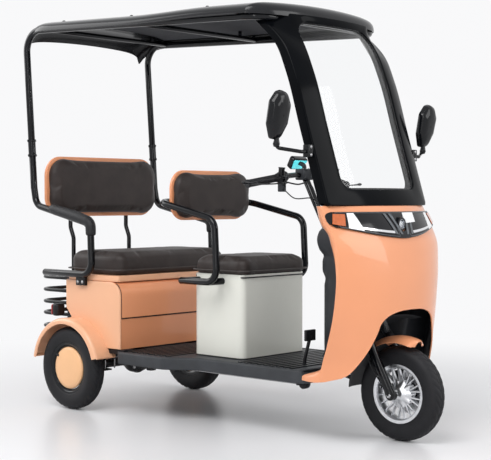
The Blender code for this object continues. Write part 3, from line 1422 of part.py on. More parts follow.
def backrest(name, front, thickness, half, low, high, corner, edge):
    """An upright pad with round corners and softened edges."""
    points = ((-half, low, 0.0), (half, low, 0.0), (half, high, 0.0), (-half, high, 0.0))
    outline = rounded(points, corner, 5, closed=True)
    pad = slab(name, outline, thickness, "front", (front - thickness / 2, 0.0, 0.0))
    bevel = pad.modifiers.new("soft_edge", "BEVEL")
    bevel.width = edge
    bevel.segments = 2
    bevel.limit_method = "ANGLE"
    bevel.angle_limit = math.radians(60)
    return finish_piece(pad, LEATHER)


def build_rear_backrest():
    backrest(
        "rear_backrest", BACK_FRONT_X, BACK_THICKNESS, BACK_HALF_WIDTH, BACK_LOW, BACK_HIGH,
        BACK_CORNER, BACK_ROUND / 2,
    )


def build_rack():
    """Five bent bars on two uprights, with the backrest's stays and the tail lamps."""
    low = RACK_HEIGHTS[0] - RACK_POST_WIDTH / 2
    high = RACK_HEIGHTS[-1] + RACK_RADIUS
    pieces = []
    for side in (-1, 1):
        gauge = side * RACK_HALF_WIDTH
        half = RACK_POST_WIDTH / 2
        pieces.append(
            block(
                "rear_rack",
                (RACK_POST_X - half, gauge - RACK_POST_THICKNESS / 2, low),
                (RACK_POST_X + half, gauge + RACK_POST_THICKNESS / 2, high),
            )
        )
    rack = pieces[0]
    extras = [pieces[1]]
    for height in RACK_HEIGHTS:
        points = (
            (RACK_POST_X, -RACK_HALF_WIDTH, height), (RACK_REACH, -RACK_HALF_WIDTH, height),
            (RACK_REACH, RACK_HALF_WIDTH, height), (RACK_POST_X, RACK_HALF_WIDTH, height),
        )
        extras.append(tube("rack_bar", rounded(points, RACK_BEND, 2), RACK_RADIUS, 1))
    arm_height = (BOX_CHAMFER_HIGH + BOX_TOP) / 2
    for side in (-1, 1):
        gauge = side * RACK_HALF_WIDTH
        ends = ((RACK_POST_X, gauge, arm_height), (BOX_REAR - SEAT_GAP, gauge, arm_height))
        extras.append(tube("rack_arm", ends, RACK_RADIUS * 1.4, 1))
        across = side * STAY_HALF_GAUGE
        front = BACK_FRONT_X - BACK_THICKNESS - SEAT_GAP - STAY_RADIUS
        stay = [
            (BOX_REAR - SEAT_GAP, across, STAY_ROOT_Z), (STAY_X, across, STAY_ROOT_Z),
            (STAY_X, across, BACK_LOW - STAY_TOP_MARGIN * 2), (front, across, BACK_LOW - STAY_TOP_MARGIN),
            (front, across, BACK_HIGH - STAY_TOP_MARGIN),
        ]
        extras.append(tube("back_stay", rounded(stay, STAY_BEND, 2), STAY_RADIUS, 2))
        lamp = TAIL_LAMP_HALF_GAUGE * side
        half = TAIL_LAMP_SIZE / 2
        extras.append(
            block(
                "tail_lamp",
                (RACK_POST_X - TAIL_LAMP_DEPTH / 2, lamp - half, TAIL_LAMP_HEIGHT - half),
                (RACK_POST_X + TAIL_LAMP_DEPTH / 2, lamp + half, TAIL_LAMP_HEIGHT + half),
                TAIL_LAMP_SIZE / 6, 1,
            )
        )
        ends = ((RACK_POST_X, gauge, TAIL_LAMP_HEIGHT), (RACK_POST_X, lamp, TAIL_LAMP_HEIGHT))
        extras.append(tube("lamp_arm", ends, RACK_RADIUS, 1))
    ends = ((RACK_POST_X, -RACK_HALF_WIDTH, STAY_ROOT_Z), (RACK_POST_X, RACK_HALF_WIDTH, STAY_ROOT_Z))
    extras.append(tube("rack_beam", ends, RACK_RADIUS, 1))
    fuse(rack, *extras)
    finish_piece(rack, BLACK)


# Rear fenders, axle and springs

def build_rear_guards():
    for label, side in SIDES:
        centre = Vector((0.0, 0.0, TYRE_RADIUS))
        across = sorted((side * (GUARD_INNER_Y + GUARD_WALL), side * (GUARD_OUTER_Y - GUARD_WALL)))
        angles = spread(GUARD_FRONT_ANGLE, GUARD_REAR_ANGLE, 12)
        inner = GUARD_RADIUS - GUARD_WALL
        guard = arc_sheet("rear_fender_" + label, centre, inner, across, angles, GUARD_WALL, GUARD_LIP)
        reach = GUARD_RADIUS - GUARD_WALL / 2
        outline = [(reach * math.cos(angle), TYRE_RADIUS + reach * math.sin(angle)) for angle in angles]
        middle = (0.0, side * (GUARD_INNER_Y + GUARD_WALL / 2), 0.0)
        fuse(guard, slab("fender_wall", outline, GUARD_WALL * 0.9, "side", middle))
        finish_piece(guard, ORANGE)


def build_rear_axle():
    height = TYRE_RADIUS
    half = AXLE_TUBE_HALF
    axle = drum("rear_axle", (0.0, -half, height), (0.0, half, height), AXLE_TUBE_RADIUS, 14)
    reach = TRACK / 2 + HUB_CAP_REACH - HUB_CAP_DOME - WEB_DEPTH - SEAT_GAP * 2
    centre = Vector((0.0, 0.0, height))
    wide = Vector((0.0, DIFF_HALF_WIDTH, 0.0))
    start = Vector((-MOTOR_SETBACK, DIFF_HALF_WIDTH / 3, height + SPRING_LEAF))
    motor = (start, start + Vector((0.0, MOTOR_LENGTH, 0.0)))
    extras = [
        drum("half_shafts", (0.0, -reach, height), (0.0, reach, height), REAR_SHAFT_RADIUS, 12),
        drum("differential", centre - wide, centre + wide, DIFF_RADIUS, 16),
        drum("motor", *motor, MOTOR_RADIUS, 18),
    ]
    eye_height = rail_height(BOX_BOTTOM)
    pitch = SPRING_LEAF * 0.9
    base = height + AXLE_TUBE_RADIUS * 0.8
    sag = eye_height - base - pitch * (SPRING_LEAVES - 1) - SPRING_LEAF / 2
    for side in (-1, 1):
        middle = side * SPRING_GAUGE
        for leaf in range(SPRING_LEAVES):
            span = SPRING_HALF_SPAN * (1 - LEAF_STEP_SHARE * leaf)
            low = base + pitch * (SPRING_LEAVES - 1 - leaf)
            arc = [(x, low + sag * (x / SPRING_HALF_SPAN) ** 2) for x in spread(-span, span, 5)]
            outline = arc + [(x, z + SPRING_LEAF) for x, z in reversed(arc)]
            width = SPRING_WIDTH - SPRING_LEAF * leaf / 2
            extras.append(slab("leaf", outline, width, "side", (0.0, middle, 0.0)))
        for end in (-1, 1):
            place = end * SPRING_HALF_SPAN
            inner = side * (RAIL_HALF_GAUGE + RAIL_RADIUS + SEAT_GAP)
            outer = side * (SPRING_GAUGE + SPRING_WIDTH / 2)
            ends = ((place, inner, eye_height), (place, outer, eye_height))
            extras.append(drum("spring_eye", *ends, SPRING_EYE_RADIUS, 10))
    fuse(axle, *extras, solver="MANIFOLD")
    finish_piece(axle, FRAME_BLACK)


# Driver's box, seat and armrests

def seat_box_outline(inset):
    rear = SEAT_BOX_REAR + inset
    front = SEAT_BOX_FRONT - inset
    half = SEAT_BOX_HALF - inset
    corners = ((rear, -half, 0.0), (front, -half, 0.0), (front, half, 0.0), (rear, half, 0.0))
    return rounded(corners, SEAT_BOX_ROUND - inset, 5, closed=True)


def build_driver_box():
    base = FLOOR_TOP + SEAT_GAP
    height = SEAT_BOX_TOP - base
    wall = SEAT_BOX_WALL
    body = slab("driver_box", seat_box_outline(0.0), height, "plan", (0.0, 0.0, base + height / 2))
    depth = height - wall + OVERRUN
    middle = (0.0, 0.0, base + wall + depth / 2)
    cut(body, slab("driver_box_hollow", seat_box_outline(wall), depth, "plan", middle))
    finish_piece(body, WHITE)
    middle = (SEAT_BOX_REAR + SEAT_BOX_FRONT) / 2
    low = (middle - BATTERY_LENGTH / 2, -BATTERY_HALF_WIDTH, base + wall + SEAT_GAP)
    high = (middle + BATTERY_LENGTH / 2, BATTERY_HALF_WIDTH, base + wall + BATTERY_HEIGHT)
    finish_piece(block("battery_pack", low, high), FRAME_BLACK)


def build_driver_seat():
    hinge = Vector((CUSHION_REAR, 0.0, CUSHION_BOTTOM))
    base = ARM_FOOT_Z + ARM_RADIUS + SEAT_GAP
    inset = CUSHION_PAN_INSET
    pan = block(
        "driver_seat_pan",
        (CUSHION_REAR + inset, -CUSHION_HALF + inset, base),
        (CUSHION_FRONT - inset, CUSHION_HALF - inset, CUSHION_BOTTOM - SEAT_GAP),
    )
    finish_piece(pan, FRAME_BLACK, hinge)
    low = (CUSHION_REAR, -CUSHION_HALF, CUSHION_BOTTOM)
    high = (CUSHION_FRONT, CUSHION_HALF, CUSHION_BOTTOM + CUSHION_THICKNESS)
    soft_block("driver_cushion", low, high, CUSHION_ROUND, LEATHER, hinge)
    backrest(
        "driver_backrest", DRIVER_BACK_FACE, DRIVER_BACK_THICKNESS, DRIVER_BACK_HALF,
        DRIVER_BACK_LOW, DRIVER_BACK_HIGH, DRIVER_BACK_CORNER, BACK_ROUND / 2,
    )


def build_driver_arms():
    """One bent tube round the seat's back, with a foot at each side and two cross bars."""
    gauge = ARM_HALF_GAUGE
    half = [
        (ARM_TAIL_X, gauge, ARM_FOOT_Z), (ARM_FOOT_X, gauge, ARM_FOOT_Z),
        (ARM_KNEE_X, gauge, ARM_KNEE_Z), (ARM_REAR_X, gauge, ARM_REAR_Z),
    ]
    points = half + [(x, -y, z) for x, y, z in reversed(half)]
    arms = tube("driver_armrests", rounded(points, ARM_BEND, 4), ARM_RADIUS)
    for place in ARM_CROSS_X:
        ends = ((place, -gauge, ARM_FOOT_Z), (place, gauge, ARM_FOOT_Z))
        fuse(arms, tube("seat_bar", ends, ARM_RADIUS, 2))
    reach = ARM_RADIUS + BACK_LUG_REACH
    for side in (-1, 1):
        middle = Vector((ARM_REAR_X, side * BACK_LUG_PLACE, ARM_REAR_Z))
        low = middle - Vector((0.0, BACK_LUG_HALF_WIDTH, ARM_RADIUS / 2))
        fuse(arms, block("back_lug", low, middle + Vector((reach, BACK_LUG_HALF_WIDTH, ARM_RADIUS / 2))))
    finish_piece(arms, BLACK)


# Pedal, linkage and mirrors

def build_pedal():
    pad = block(
        "brake_pedal",
        (PEDAL_PAD_X - ROD_RADIUS, PEDAL_Y - PEDAL_PAD_WIDTH / 2, PEDAL_PAD_Z - PEDAL_PAD_HEIGHT / 2),
        (PEDAL_PAD_X + ROD_RADIUS, PEDAL_Y + PEDAL_PAD_WIDTH / 2, PEDAL_PAD_Z + PEDAL_PAD_HEIGHT / 2),
        ROD_RADIUS / 2,
    )
    pivot = Vector((PEDAL_PIVOT_X, PEDAL_Y, PEDAL_PIVOT_Z))
    arm = (pivot, (PEDAL_PIVOT_X, PEDAL_Y, FLOOR_TOP + OVERRUN), (PEDAL_PAD_X, PEDAL_Y, PEDAL_PAD_Z))
    reach = Vector((0.0, CRANK_WIDTH / 2, 0.0))
    rail_side = -RAIL_HALF_GAUGE
    extras = [
        tube("pedal_arm", rounded(arm, RAIL_BEND, 3), PEDAL_ARM_RADIUS, 2),
        drum("crank", pivot - reach, pivot + reach, CRANK_RADIUS, 16),
        tube(
            "brake_rod",
            (pivot - reach / 2, Vector((ROD_REAR_X, rail_side, PEDAL_PIVOT_Z))), ROD_RADIUS, 1,
        ),
    ]
    hanger_top = rail_height(FLOOR_TOP - FLOOR_PLATE) - RAIL_RADIUS - SEAT_GAP
    extras.append(
        block(
            "crank_hanger",
            (PEDAL_PIVOT_X - CRANK_RADIUS / 2, rail_side - CRANK_WIDTH / 6, PEDAL_PIVOT_Z),
            (PEDAL_PIVOT_X + CRANK_RADIUS / 2, PEDAL_Y, hanger_top),
        )
    )
    fuse(pad, *extras)
    finish_piece(pad, FRAME_BLACK)


def build_mirrors():
    """Long faceted shells on bent arms from the windscreen's posts."""
    share = (MIRROR_ARM_Z - SCREEN_BOTTOM) / (SCREEN_TOP - SCREEN_BOTTOM)
    for label, side in SIDES:
        x, y, z = screen_point(share, 1.0, SCREEN_DEPTH / 2)
        lean = 2 * SCREEN_BOW / SCREEN_HALF_WIDTH
        y += MIRROR_ARM_RADIUS * lean - SCREEN_DEPTH / 2 * math.sin(lean) + SEAT_GAP * 2
        root = Vector((x, side * y, z))
        centre = Vector((MIRROR_X, side * MIRROR_HALF_GAUGE, MIRROR_Z))
        low = centre - Vector((0.0, 0.0, MIRROR_HALF_HEIGHT))
        profile_share = ((0.0, 1.0), (0.62, 0.86), (1.0, 0.35), (0.94, -0.45), (0.50, -0.96), (0.0, -1.0))
        half = [(a * MIRROR_HALF_WIDTH, b * MIRROR_HALF_HEIGHT, 0.0) for a, b in profile_share]
        outline = half + [(-a, b, c) for a, b, c in reversed(half[1:-1])]
        outline = rounded(outline, MIRROR_HALF_WIDTH / 3, 2, closed=True)
        shell = slab("mirror_" + label, outline, MIRROR_DEPTH, "front")
        shell.data.transform(Matrix.Translation(centre) @ Matrix.Rotation(MIRROR_LEAN, 4, "Y"))
        knee = Vector((x, low.y - side * MIRROR_HALF_WIDTH / 3, z))
        path = rounded((root, knee, centre), MIRROR_HALF_WIDTH / 2, 3)
        arm = tube("mirror_arm", path, MIRROR_ARM_RADIUS, 2)
        fuse(shell, arm)
        finish_piece(shell, BLACK)


def place_on_origin():
    """Parent all to one empty that centres the vehicle's length on the world origin."""
    origin = bpy.data.objects.new("vehicle_origin", None)
    PARTS.objects.link(origin)
    front = WHEELBASE + TYRE_RADIUS
    origin.location = (-(front + ROOF_REAR) / 2, 0.0, 0.0)
    for collection in (PARTS, CUTTERS):
        for item in collection.objects:
            if item is not origin:
                item.parent = origin


build_wheels()
build_steering()
build_floor()
build_frame()
build_front_shield()
build_lamps()
build_leg_shield()
build_windscreen()
build_roof()
build_canopy_frame()
build_rear_posts()
build_rear_box()
build_box_door()
build_bench()
build_rear_backrest()
build_rack()
build_rear_guards()
build_rear_axle()
build_driver_box()
build_driver_seat()
build_driver_arms()
build_pedal()
build_mirrors()
place_on_origin()
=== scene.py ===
"""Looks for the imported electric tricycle: fine surfaces, cushions, materials, light and camera.

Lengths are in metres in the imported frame: X forward, Y to the vehicle's left, Z up. Places
along the vehicle are written from the rear axle and moved by REAR_AXLE_X, as in the CAD.
"""

import math

import bmesh
import bpy
import numpy as np
from mathutils import Matrix, Vector


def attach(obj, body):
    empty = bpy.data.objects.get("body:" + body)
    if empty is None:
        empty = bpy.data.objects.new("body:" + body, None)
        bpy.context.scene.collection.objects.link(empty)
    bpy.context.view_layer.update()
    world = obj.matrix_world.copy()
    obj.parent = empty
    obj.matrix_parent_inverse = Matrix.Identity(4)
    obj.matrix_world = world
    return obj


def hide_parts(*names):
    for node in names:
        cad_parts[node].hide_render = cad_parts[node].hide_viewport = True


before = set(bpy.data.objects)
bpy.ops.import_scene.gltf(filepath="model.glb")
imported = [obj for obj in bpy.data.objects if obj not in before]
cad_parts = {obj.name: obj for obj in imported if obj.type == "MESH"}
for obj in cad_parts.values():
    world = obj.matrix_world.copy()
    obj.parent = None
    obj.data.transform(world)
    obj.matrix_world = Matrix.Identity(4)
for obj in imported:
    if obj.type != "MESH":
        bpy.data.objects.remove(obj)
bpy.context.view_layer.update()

REAR_AXLE_X = -0.66325
RAKE = math.radians(28)
TYRE_RADIUS = 0.183
FRONT_AXLE = np.array((1.5055, 0.0, TYRE_RADIUS))
STEER_UP = np.array((-math.sin(RAKE), 0.0, math.cos(RAKE)))
STEER_OUT = np.array((math.cos(RAKE), 0.0, math.sin(RAKE)))
FORK_OFFSET = 0.035
STEER_FOOT = FRONT_AXLE - FORK_OFFSET * STEER_OUT
UP = np.array((0.0, 0.0, 1.0))
SIDES = (("right", -1), ("left", 1))
REAR_WHEEL_Y = 0.3815
FORK_HALF = 0.0725
HEAD_START, HEAD_LENGTH = 0.340, 0.310
GUARD_ARC = (math.radians(16), math.radians(170))
POLE_GAUGE = 0.380
LAMP_HEIGHT = 0.836
PIPING_RADIUS = 0.0030
WHITE = (0.945, 0.945, 0.955, 1.0)


# Materials

def shader(name, colour, rough, metal=0.0, coat=0.0, coat_rough=0.05, spec=0.5, sheen=0.0):
    """A plain surface with its constants set on the sockets."""
    made = bpy.data.materials.new(name)
    made.use_nodes = True
    node = made.node_tree.nodes["Principled BSDF"]
    node.inputs["Base Color"].default_value = (*colour, 1.0)
    node.inputs["Roughness"].default_value = rough
    node.inputs["Metallic"].default_value = metal
    node.inputs["Coat Weight"].default_value = coat
    node.inputs["Coat Roughness"].default_value = coat_rough
    node.inputs["Specular IOR Level"].default_value = spec
    node.inputs["Sheen Weight"].default_value = sheen
    return made


def vary(made, low, high, scale):
    """Let noise in object space carry the base colour between two colours."""
    tree = made.node_tree
    place = tree.nodes.new("ShaderNodeTexCoord")
    noise = tree.nodes.new("ShaderNodeTexNoise")
    ramp = tree.nodes.new("ShaderNodeValToRGB")
    noise.inputs["Scale"].default_value = scale
    noise.inputs["Detail"].default_value = 3.0
    ramp.color_ramp.elements[0].position = 0.30
    ramp.color_ramp.elements[1].position = 0.70
    ramp.color_ramp.elements[0].color = (*low, 1.0)
    ramp.color_ramp.elements[1].color = (*high, 1.0)
    tree.links.new(place.outputs["Object"], noise.inputs["Vector"])
    tree.links.new(noise.outputs["Fac"], ramp.inputs["Fac"])
    tree.links.new(ramp.outputs["Color"], tree.nodes["Principled BSDF"].inputs["Base Color"])
    return made


def grain(made, kind, scale, strength, distance):
    """Raise a noise or a cell pattern in object space as bump."""
    tree = made.node_tree
    place = tree.nodes.new("ShaderNodeTexCoord")
    bump = tree.nodes.new("ShaderNodeBump")
    bump.inputs["Strength"].default_value = strength
    bump.inputs["Distance"].default_value = distance
    if kind == "noise":
        texture = tree.nodes.new("ShaderNodeTexNoise")
        texture.inputs["Detail"].default_value = 4.0
        height = texture.outputs["Fac"]
    else:
        texture = tree.nodes.new("ShaderNodeTexVoronoi")
        texture.feature = "DISTANCE_TO_EDGE"
        height = texture.outputs["Distance"]
    texture.inputs["Scale"].default_value = scale
    tree.links.new(place.outputs["Object"], texture.inputs["Vector"])
    tree.links.new(height, bump.inputs["Height"])
    tree.links.new(bump.outputs["Normal"], tree.nodes["Principled BSDF"].inputs["Normal"])
    return made


def tint(colour, share):
    """A colour times a share."""
    return tuple(value * share for value in colour)


def plain(name, colour, rough, spread=0.06, scale=9.0, bump=(300.0, 0.05, 0.0003), **more):
    """A surface whose colour drifts a little, with a fine grain in its gloss."""
    made = shader(name, colour, rough, **more)
    vary(made, tint(colour, 1 - spread), tint(colour, 1 + spread), scale)
    return grain(made, "noise", *bump)


PEACH_COLOUR = (0.82, 0.335, 0.165)
PEACH = plain("peach_gloss", PEACH_COLOUR, 0.36, 0.03, 3.0, (60.0, 0.03, 0.0004), coat=0.5, spec=0.3)
# A paler copy of the peach paint: painted light for the strong light on the side faces and painted highlight on
# the rear fenders.
LIT_PEACH = plain("peach_painted_light", (0.84, 0.455, 0.27), 0.34, 0.03, 3.0, (60.0, 0.03, 0.0004), coat=0.5, spec=0.3)
CAP = plain("cap_gloss", (0.90, 0.52, 0.27), 0.42, 0.03, 12.0, coat=0.4, spec=0.3)
CREAM = plain("cream_gloss", (0.74, 0.745, 0.68), 0.36, 0.025, 4.0, (50.0, 0.03, 0.0005), coat=0.3, spec=0.3)
BLACK = plain("black_gloss", (0.004, 0.0045, 0.006), 0.13, 0.25, 6.0, (80.0, 0.02, 0.0003), coat=0.12,
    spec=0.22)
SURROUND = plain("screen_black", (0.0025, 0.003, 0.004), 0.12, 0.25, 6.0, (80.0, 0.02, 0.0003), spec=0.05)
ROOF = plain("roof_gloss", (0.007, 0.0075, 0.009), 0.17, 0.25, 5.0, (160.0, 0.03, 0.0003), coat=0.10, spec=0.26)
FRAME = plain("frame_black", (0.010, 0.010, 0.012), 0.38, 0.25, 20.0, (400.0, 0.10, 0.0004), spec=0.25)
PLASTIC = plain("grained_plastic", (0.020, 0.022, 0.026), 0.50, 0.15, 14.0, (700.0, 0.30, 0.0004), spec=0.3)
DECK = plain("deck_rubber", (0.034, 0.037, 0.042), 0.55, 0.18, 16.0, (500.0, 0.35, 0.0006), spec=0.35)
RIB = plain("deck_rib", (0.010, 0.011, 0.013), 0.40, 0.15, 16.0, (500.0, 0.20, 0.0004), spec=0.3)
TYRE = plain("tyre_rubber", (0.008, 0.008, 0.010), 0.60, 0.20, 30.0, (450.0, 0.25, 0.0004), spec=0.3)
RUBBER = plain("soft_rubber", (0.013, 0.013, 0.015), 0.50, 0.20, 40.0, (600.0, 0.25, 0.0004), spec=0.3)
SILVER = plain("cast_silver", (0.66, 0.67, 0.69), 0.30, 0.10, 60.0, (350.0, 0.12, 0.0003), metal=1.0)
STEEL = plain("turned_steel", (0.42, 0.42, 0.43), 0.34, 0.12, 80.0, metal=1.0)
CHROME = plain("bright_chrome", (0.80, 0.81, 0.83), 0.10, 0.04, 20.0, (200.0, 0.02, 0.0002), metal=1.0)
LINING = plain("lining_cloth", (0.040, 0.041, 0.046), 0.85, 0.08, 25.0, (900.0, 0.40, 0.0006), spec=0.2)
AMBER = plain("amber_lens", (0.52, 0.105, 0.012), 0.16, 0.12, 90.0, (260.0, 0.30, 0.0008), coat=0.9)
RED = plain("red_lens", (0.42, 0.012, 0.010), 0.18, 0.12, 90.0, (260.0, 0.30, 0.0008), coat=0.9)
CLEAR = plain("white_reflector", (0.86, 0.87, 0.88), 0.12, 0.05, 60.0, (300.0, 0.20, 0.0006), coat=0.9)
HOUSING = plain("lamp_grey", (0.10, 0.11, 0.12), 0.45, 0.12, 20.0)
BATTERY = plain("battery_case", (0.03, 0.03, 0.035), 0.60, 0.15, 12.0)

LEATHER = shader("brown_leather", (0.030, 0.021, 0.019), 0.50, spec=0.30, sheen=0.04)
vary(LEATHER, (0.022, 0.016, 0.0145), (0.034, 0.025, 0.023), 16.0)
grain(LEATHER, "cells", 420.0, 0.22, 0.0008)
PIPING = plain("seam_piping", (0.034, 0.026, 0.024), 0.55, 0.15, 40.0, (800.0, 0.3, 0.0004))

GLASS = shader("clear_screen", (0.97, 0.98, 0.98), 0.02, spec=0.5)
GLASS.node_tree.nodes["Principled BSDF"].inputs["Transmission Weight"].default_value = 1.0
GLASS.node_tree.nodes["Principled BSDF"].inputs["IOR"].default_value = 1.16
grain(GLASS, "noise", 6.0, 0.02, 0.0004)
LENS = shader("headlamp_glass", (0.85, 0.88, 0.92), 0.04, coat=1.0)
LENS.node_tree.nodes["Principled BSDF"].inputs["Transmission Weight"].default_value = 0.75
grain(LENS, "noise", 90.0, 0.05, 0.0004)
MIRROR = plain("mirror_glass", (0.86, 0.88, 0.90), 0.04, 0.02, 5.0, (30.0, 0.01, 0.0002), metal=1.0)
TEAL = shader("display_teal", (0.10, 0.62, 0.66), 0.25)
TEAL.node_tree.nodes["Principled BSDF"].inputs["Emission Color"].default_value = (0.12, 0.72, 0.78, 1.0)
TEAL.node_tree.nodes["Principled BSDF"].inputs["Emission Strength"].default_value = 0.75
vary(TEAL, (0.05, 0.40, 0.45), (0.14, 0.72, 0.76), 90.0)


# Shapes: each gives its points and its faces

def quads(rows, columns, wrap_rows=False, wrap_columns=False):
    """Corner numbers of a grid's quads: (i, j), (i+1, j), (i+1, j+1), (i, j+1)."""
    first = np.arange(rows if wrap_rows else rows - 1)
    second = np.arange(columns if wrap_columns else columns - 1)
    i, j = np.meshgrid(first, second, indexing="ij")
    a = i * columns + j
    b = ((i + 1) % rows) * columns + j
    c = ((i + 1) % rows) * columns + (j + 1) % columns
    d = i * columns + (j + 1) % columns
    return np.stack((a, b, c, d), axis=-1).reshape(-1, 4)


def grid(points, wrap_rows=False, wrap_columns=False, caps=False):
    """The corners of a grid P(i, j) with its quads, closed by two caps where asked."""
    points = np.asarray(points, dtype=float)
    rows, columns = points.shape[:2]
    faces = quads(rows, columns, wrap_rows, wrap_columns).tolist()
    if caps:
        faces.append(list(range(columns)))
        faces.append(list(range(rows * columns - 1, (rows - 1) * columns - 1, -1)))
    return points.reshape(-1, 3), faces


def normals(points):
    """Unit cross product of a grid's row direction and column direction."""
    along = np.gradient(points, axis=0)
    across = np.gradient(points, axis=1)
    normal = np.cross(along, across)
    length = np.linalg.norm(normal, axis=-1, keepdims=True)
    return normal / np.maximum(length, 1e-12)


def shell(points, thickness):
    """A wall: the grid P and P - t N, joined round the rim."""
    points = np.asarray(points, dtype=float)
    inner = points - thickness * normals(points)
    rows, columns = points.shape[:2]
    count = rows * columns
    face = quads(rows, columns)
    rim = list(range(columns))
    rim += [row * columns + columns - 1 for row in range(1, rows)]
    rim += [(rows - 1) * columns + column for column in range(columns - 2, -1, -1)]
    rim += [row * columns for row in range(rows - 2, 0, -1)]
    rim = np.array(rim)
    after = np.roll(rim, -1)
    sides = np.stack((rim, after, after + count, rim + count), axis=-1)
    faces = face.tolist() + (face[:, ::-1] + count).tolist() + sides.tolist()
    return np.concatenate((points.reshape(-1, 3), inner.reshape(-1, 3))), faces


def hermite(values, places, where):
    """Cubic through the values, with slopes taken from each point's neighbours."""
    slopes = np.gradient(values, places, axis=0)
    index = np.clip(np.searchsorted(places, where, side="right") - 1, 0, len(places) - 2)
    run = places[index + 1] - places[index]
    s = (where - places[index]) / run
    if values.ndim > 1:
        s = s[:, None]
        run = run[:, None]
    return (
        values[index] * (2 * s**3 - 3 * s**2 + 1)
        + slopes[index] * run * (s**3 - 2 * s**2 + s)
        + values[index + 1] * (3 * s**2 - 2 * s**3)
        + slopes[index + 1] * run * (s**3 - s**2)
    )


def smooth(points, count):
    """Points at even spacing on one smooth curve through the given points."""
    points = np.asarray(points, dtype=float)
    steps = np.linalg.norm(np.diff(points, axis=0), axis=1)
    places = np.concatenate(((0.0,), np.cumsum(steps)))
    return hermite(points, places, np.linspace(0.0, places[-1], count))


def fillet(points, radius, steps=8):
    """The path with each inner corner replaced by an arc of the radius."""
    corners = [Vector(point) for point in points]
    path = [corners[0]]
    for before, corner, after in zip(corners, corners[1:], corners[2:]):
        back = before - corner
        ahead = after - corner
        half = back.angle(ahead) / 2
        run = min(radius / math.tan(half), 0.49 * back.length, 0.49 * ahead.length)
        middle = (back.normalized() + ahead.normalized()).normalized()
        centre = corner + middle * (run / math.cos(half))
        first = corner + back.normalized() * run - centre
        last = corner + ahead.normalized() * run - centre
        sweep = first.angle(last)
        for step in range(steps + 1):
            share = step / steps
            turn = math.sin((1 - share) * sweep) * first + math.sin(share * sweep) * last
            path.append(centre + turn / math.sin(sweep))
    path.append(corners[-1])
    return np.array([tuple(point) for point in path])


def pipe(path, radius, sides=16, dome=0.5, flatten=1.0):
    """C(s) + r(s) (cos a N + sin a B), with frames carried along the path and domed ends."""
    path = np.asarray(path, dtype=float)
    radius = np.broadcast_to(np.asarray(radius, dtype=float), (len(path),))
    tangent = np.gradient(path, axis=0)
    tangent /= np.linalg.norm(tangent, axis=1, keepdims=True)
    turns = (math.radians(80), math.radians(55), math.radians(28))
    head = [path[0] - tangent[0] * radius[0] * dome * math.sin(turn) for turn in turns]
    tail = [path[-1] + tangent[-1] * radius[-1] * dome * math.sin(turn) for turn in turns[::-1]]
    small = [math.cos(turn) for turn in turns]
    centre = np.concatenate((head, path, tail))
    size = np.concatenate((radius[0] * np.array(small), radius, radius[-1] * np.array(small[::-1])))
    tangent = np.concatenate((np.repeat(tangent[:1], 3, 0), tangent, np.repeat(tangent[-1:], 3, 0)))
    start = UP if abs(tangent[0][2]) < 0.9 else np.array((1.0, 0.0, 0.0))
    normal = np.empty_like(tangent)
    side = start
    for index, direction in enumerate(tangent):
        side = side - direction * np.dot(side, direction)
        side = side / np.linalg.norm(side)
        normal[index] = side
    other = np.cross(tangent, normal)
    angle = np.linspace(0.0, 2 * math.pi, sides, endpoint=False)
    ring = np.cos(angle)[None, :, None] * normal[:, None, :] * flatten
    ring = ring + np.sin(angle)[None, :, None] * other[:, None, :]
    return grid(centre[:, None, :] + size[:, None, None] * ring, wrap_columns=True, caps=True)


def lathe(profile, centre, axis, steps=48, closed=False, wave=None):
    """Turn (radius, height) pairs about an axis: C + r (cos a U + sin a V) + h W."""
    profile = np.asarray(profile, dtype=float)
    axis = np.asarray(axis, dtype=float) / np.linalg.norm(axis)
    first = np.cross(axis, UP) if abs(axis[2]) < 0.9 else np.cross(axis, (1.0, 0.0, 0.0))
    first = first / np.linalg.norm(first)
    second = np.cross(axis, first)
    angle = np.linspace(0.0, 2 * math.pi, steps, endpoint=False)
    spoke = np.cos(angle)[:, None] * first + np.sin(angle)[:, None] * second
    radius = np.repeat(profile[None, :, 0], steps, 0)
    if wave is not None:
        radius = radius + wave(angle[:, None], profile[None, :, 1], radius)
    points = np.asarray(centre) + radius[..., None] * spoke[:, None, :]
    points = points + profile[None, :, 1, None] * axis
    return grid(points, wrap_rows=True, wrap_columns=closed)


def outline(points, radius, steps=6):
    """A closed 2-D outline with round corners, as an array of points."""
    count = len(points)
    corners = [Vector(point) for point in points]
    path = []
    for index, corner in enumerate(corners):
        reach = radius[index] if isinstance(radius, (list, tuple)) else radius
        back = corners[index - 1] - corner
        ahead = corners[(index + 1) % count] - corner
        half = back.angle(ahead) / 2
        run = min(reach / math.tan(half), 0.49 * back.length, 0.49 * ahead.length)
        if run < 1e-5:
            path.append(tuple(corner))
            continue
        middle = (back.normalized() + ahead.normalized()).normalized()
        centre = corner + middle * (run / math.cos(half))
        first = corner + back.normalized() * run - centre
        last = corner + ahead.normalized() * run - centre
        sweep = first.angle(last)
        for step in range(steps + 1):
            share = step / steps
            turn = math.sin((1 - share) * sweep) * first + math.sin(share * sweep) * last
            path.append(tuple(centre + turn / math.sin(sweep)))
    return np.array(path)


def inset(loop, reach):
    """A closed 2-D loop moved inwards along the mean of its two edge normals."""
    before = loop - np.roll(loop, 1, axis=0)
    after = np.roll(loop, -1, axis=0) - loop
    before /= np.maximum(np.linalg.norm(before, axis=1, keepdims=True), 1e-9)
    after /= np.maximum(np.linalg.norm(after, axis=1, keepdims=True), 1e-9)
    mean = before + after
    mean /= np.maximum(np.linalg.norm(mean, axis=1, keepdims=True), 1e-9)
    inward = np.stack((-mean[:, 1], mean[:, 0]), axis=-1)
    area = np.sum(loop[:, 0] * np.roll(loop[:, 1], -1) - loop[:, 1] * np.roll(loop[:, 0], -1))
    return loop + inward * reach * math.copysign(1.0, area)


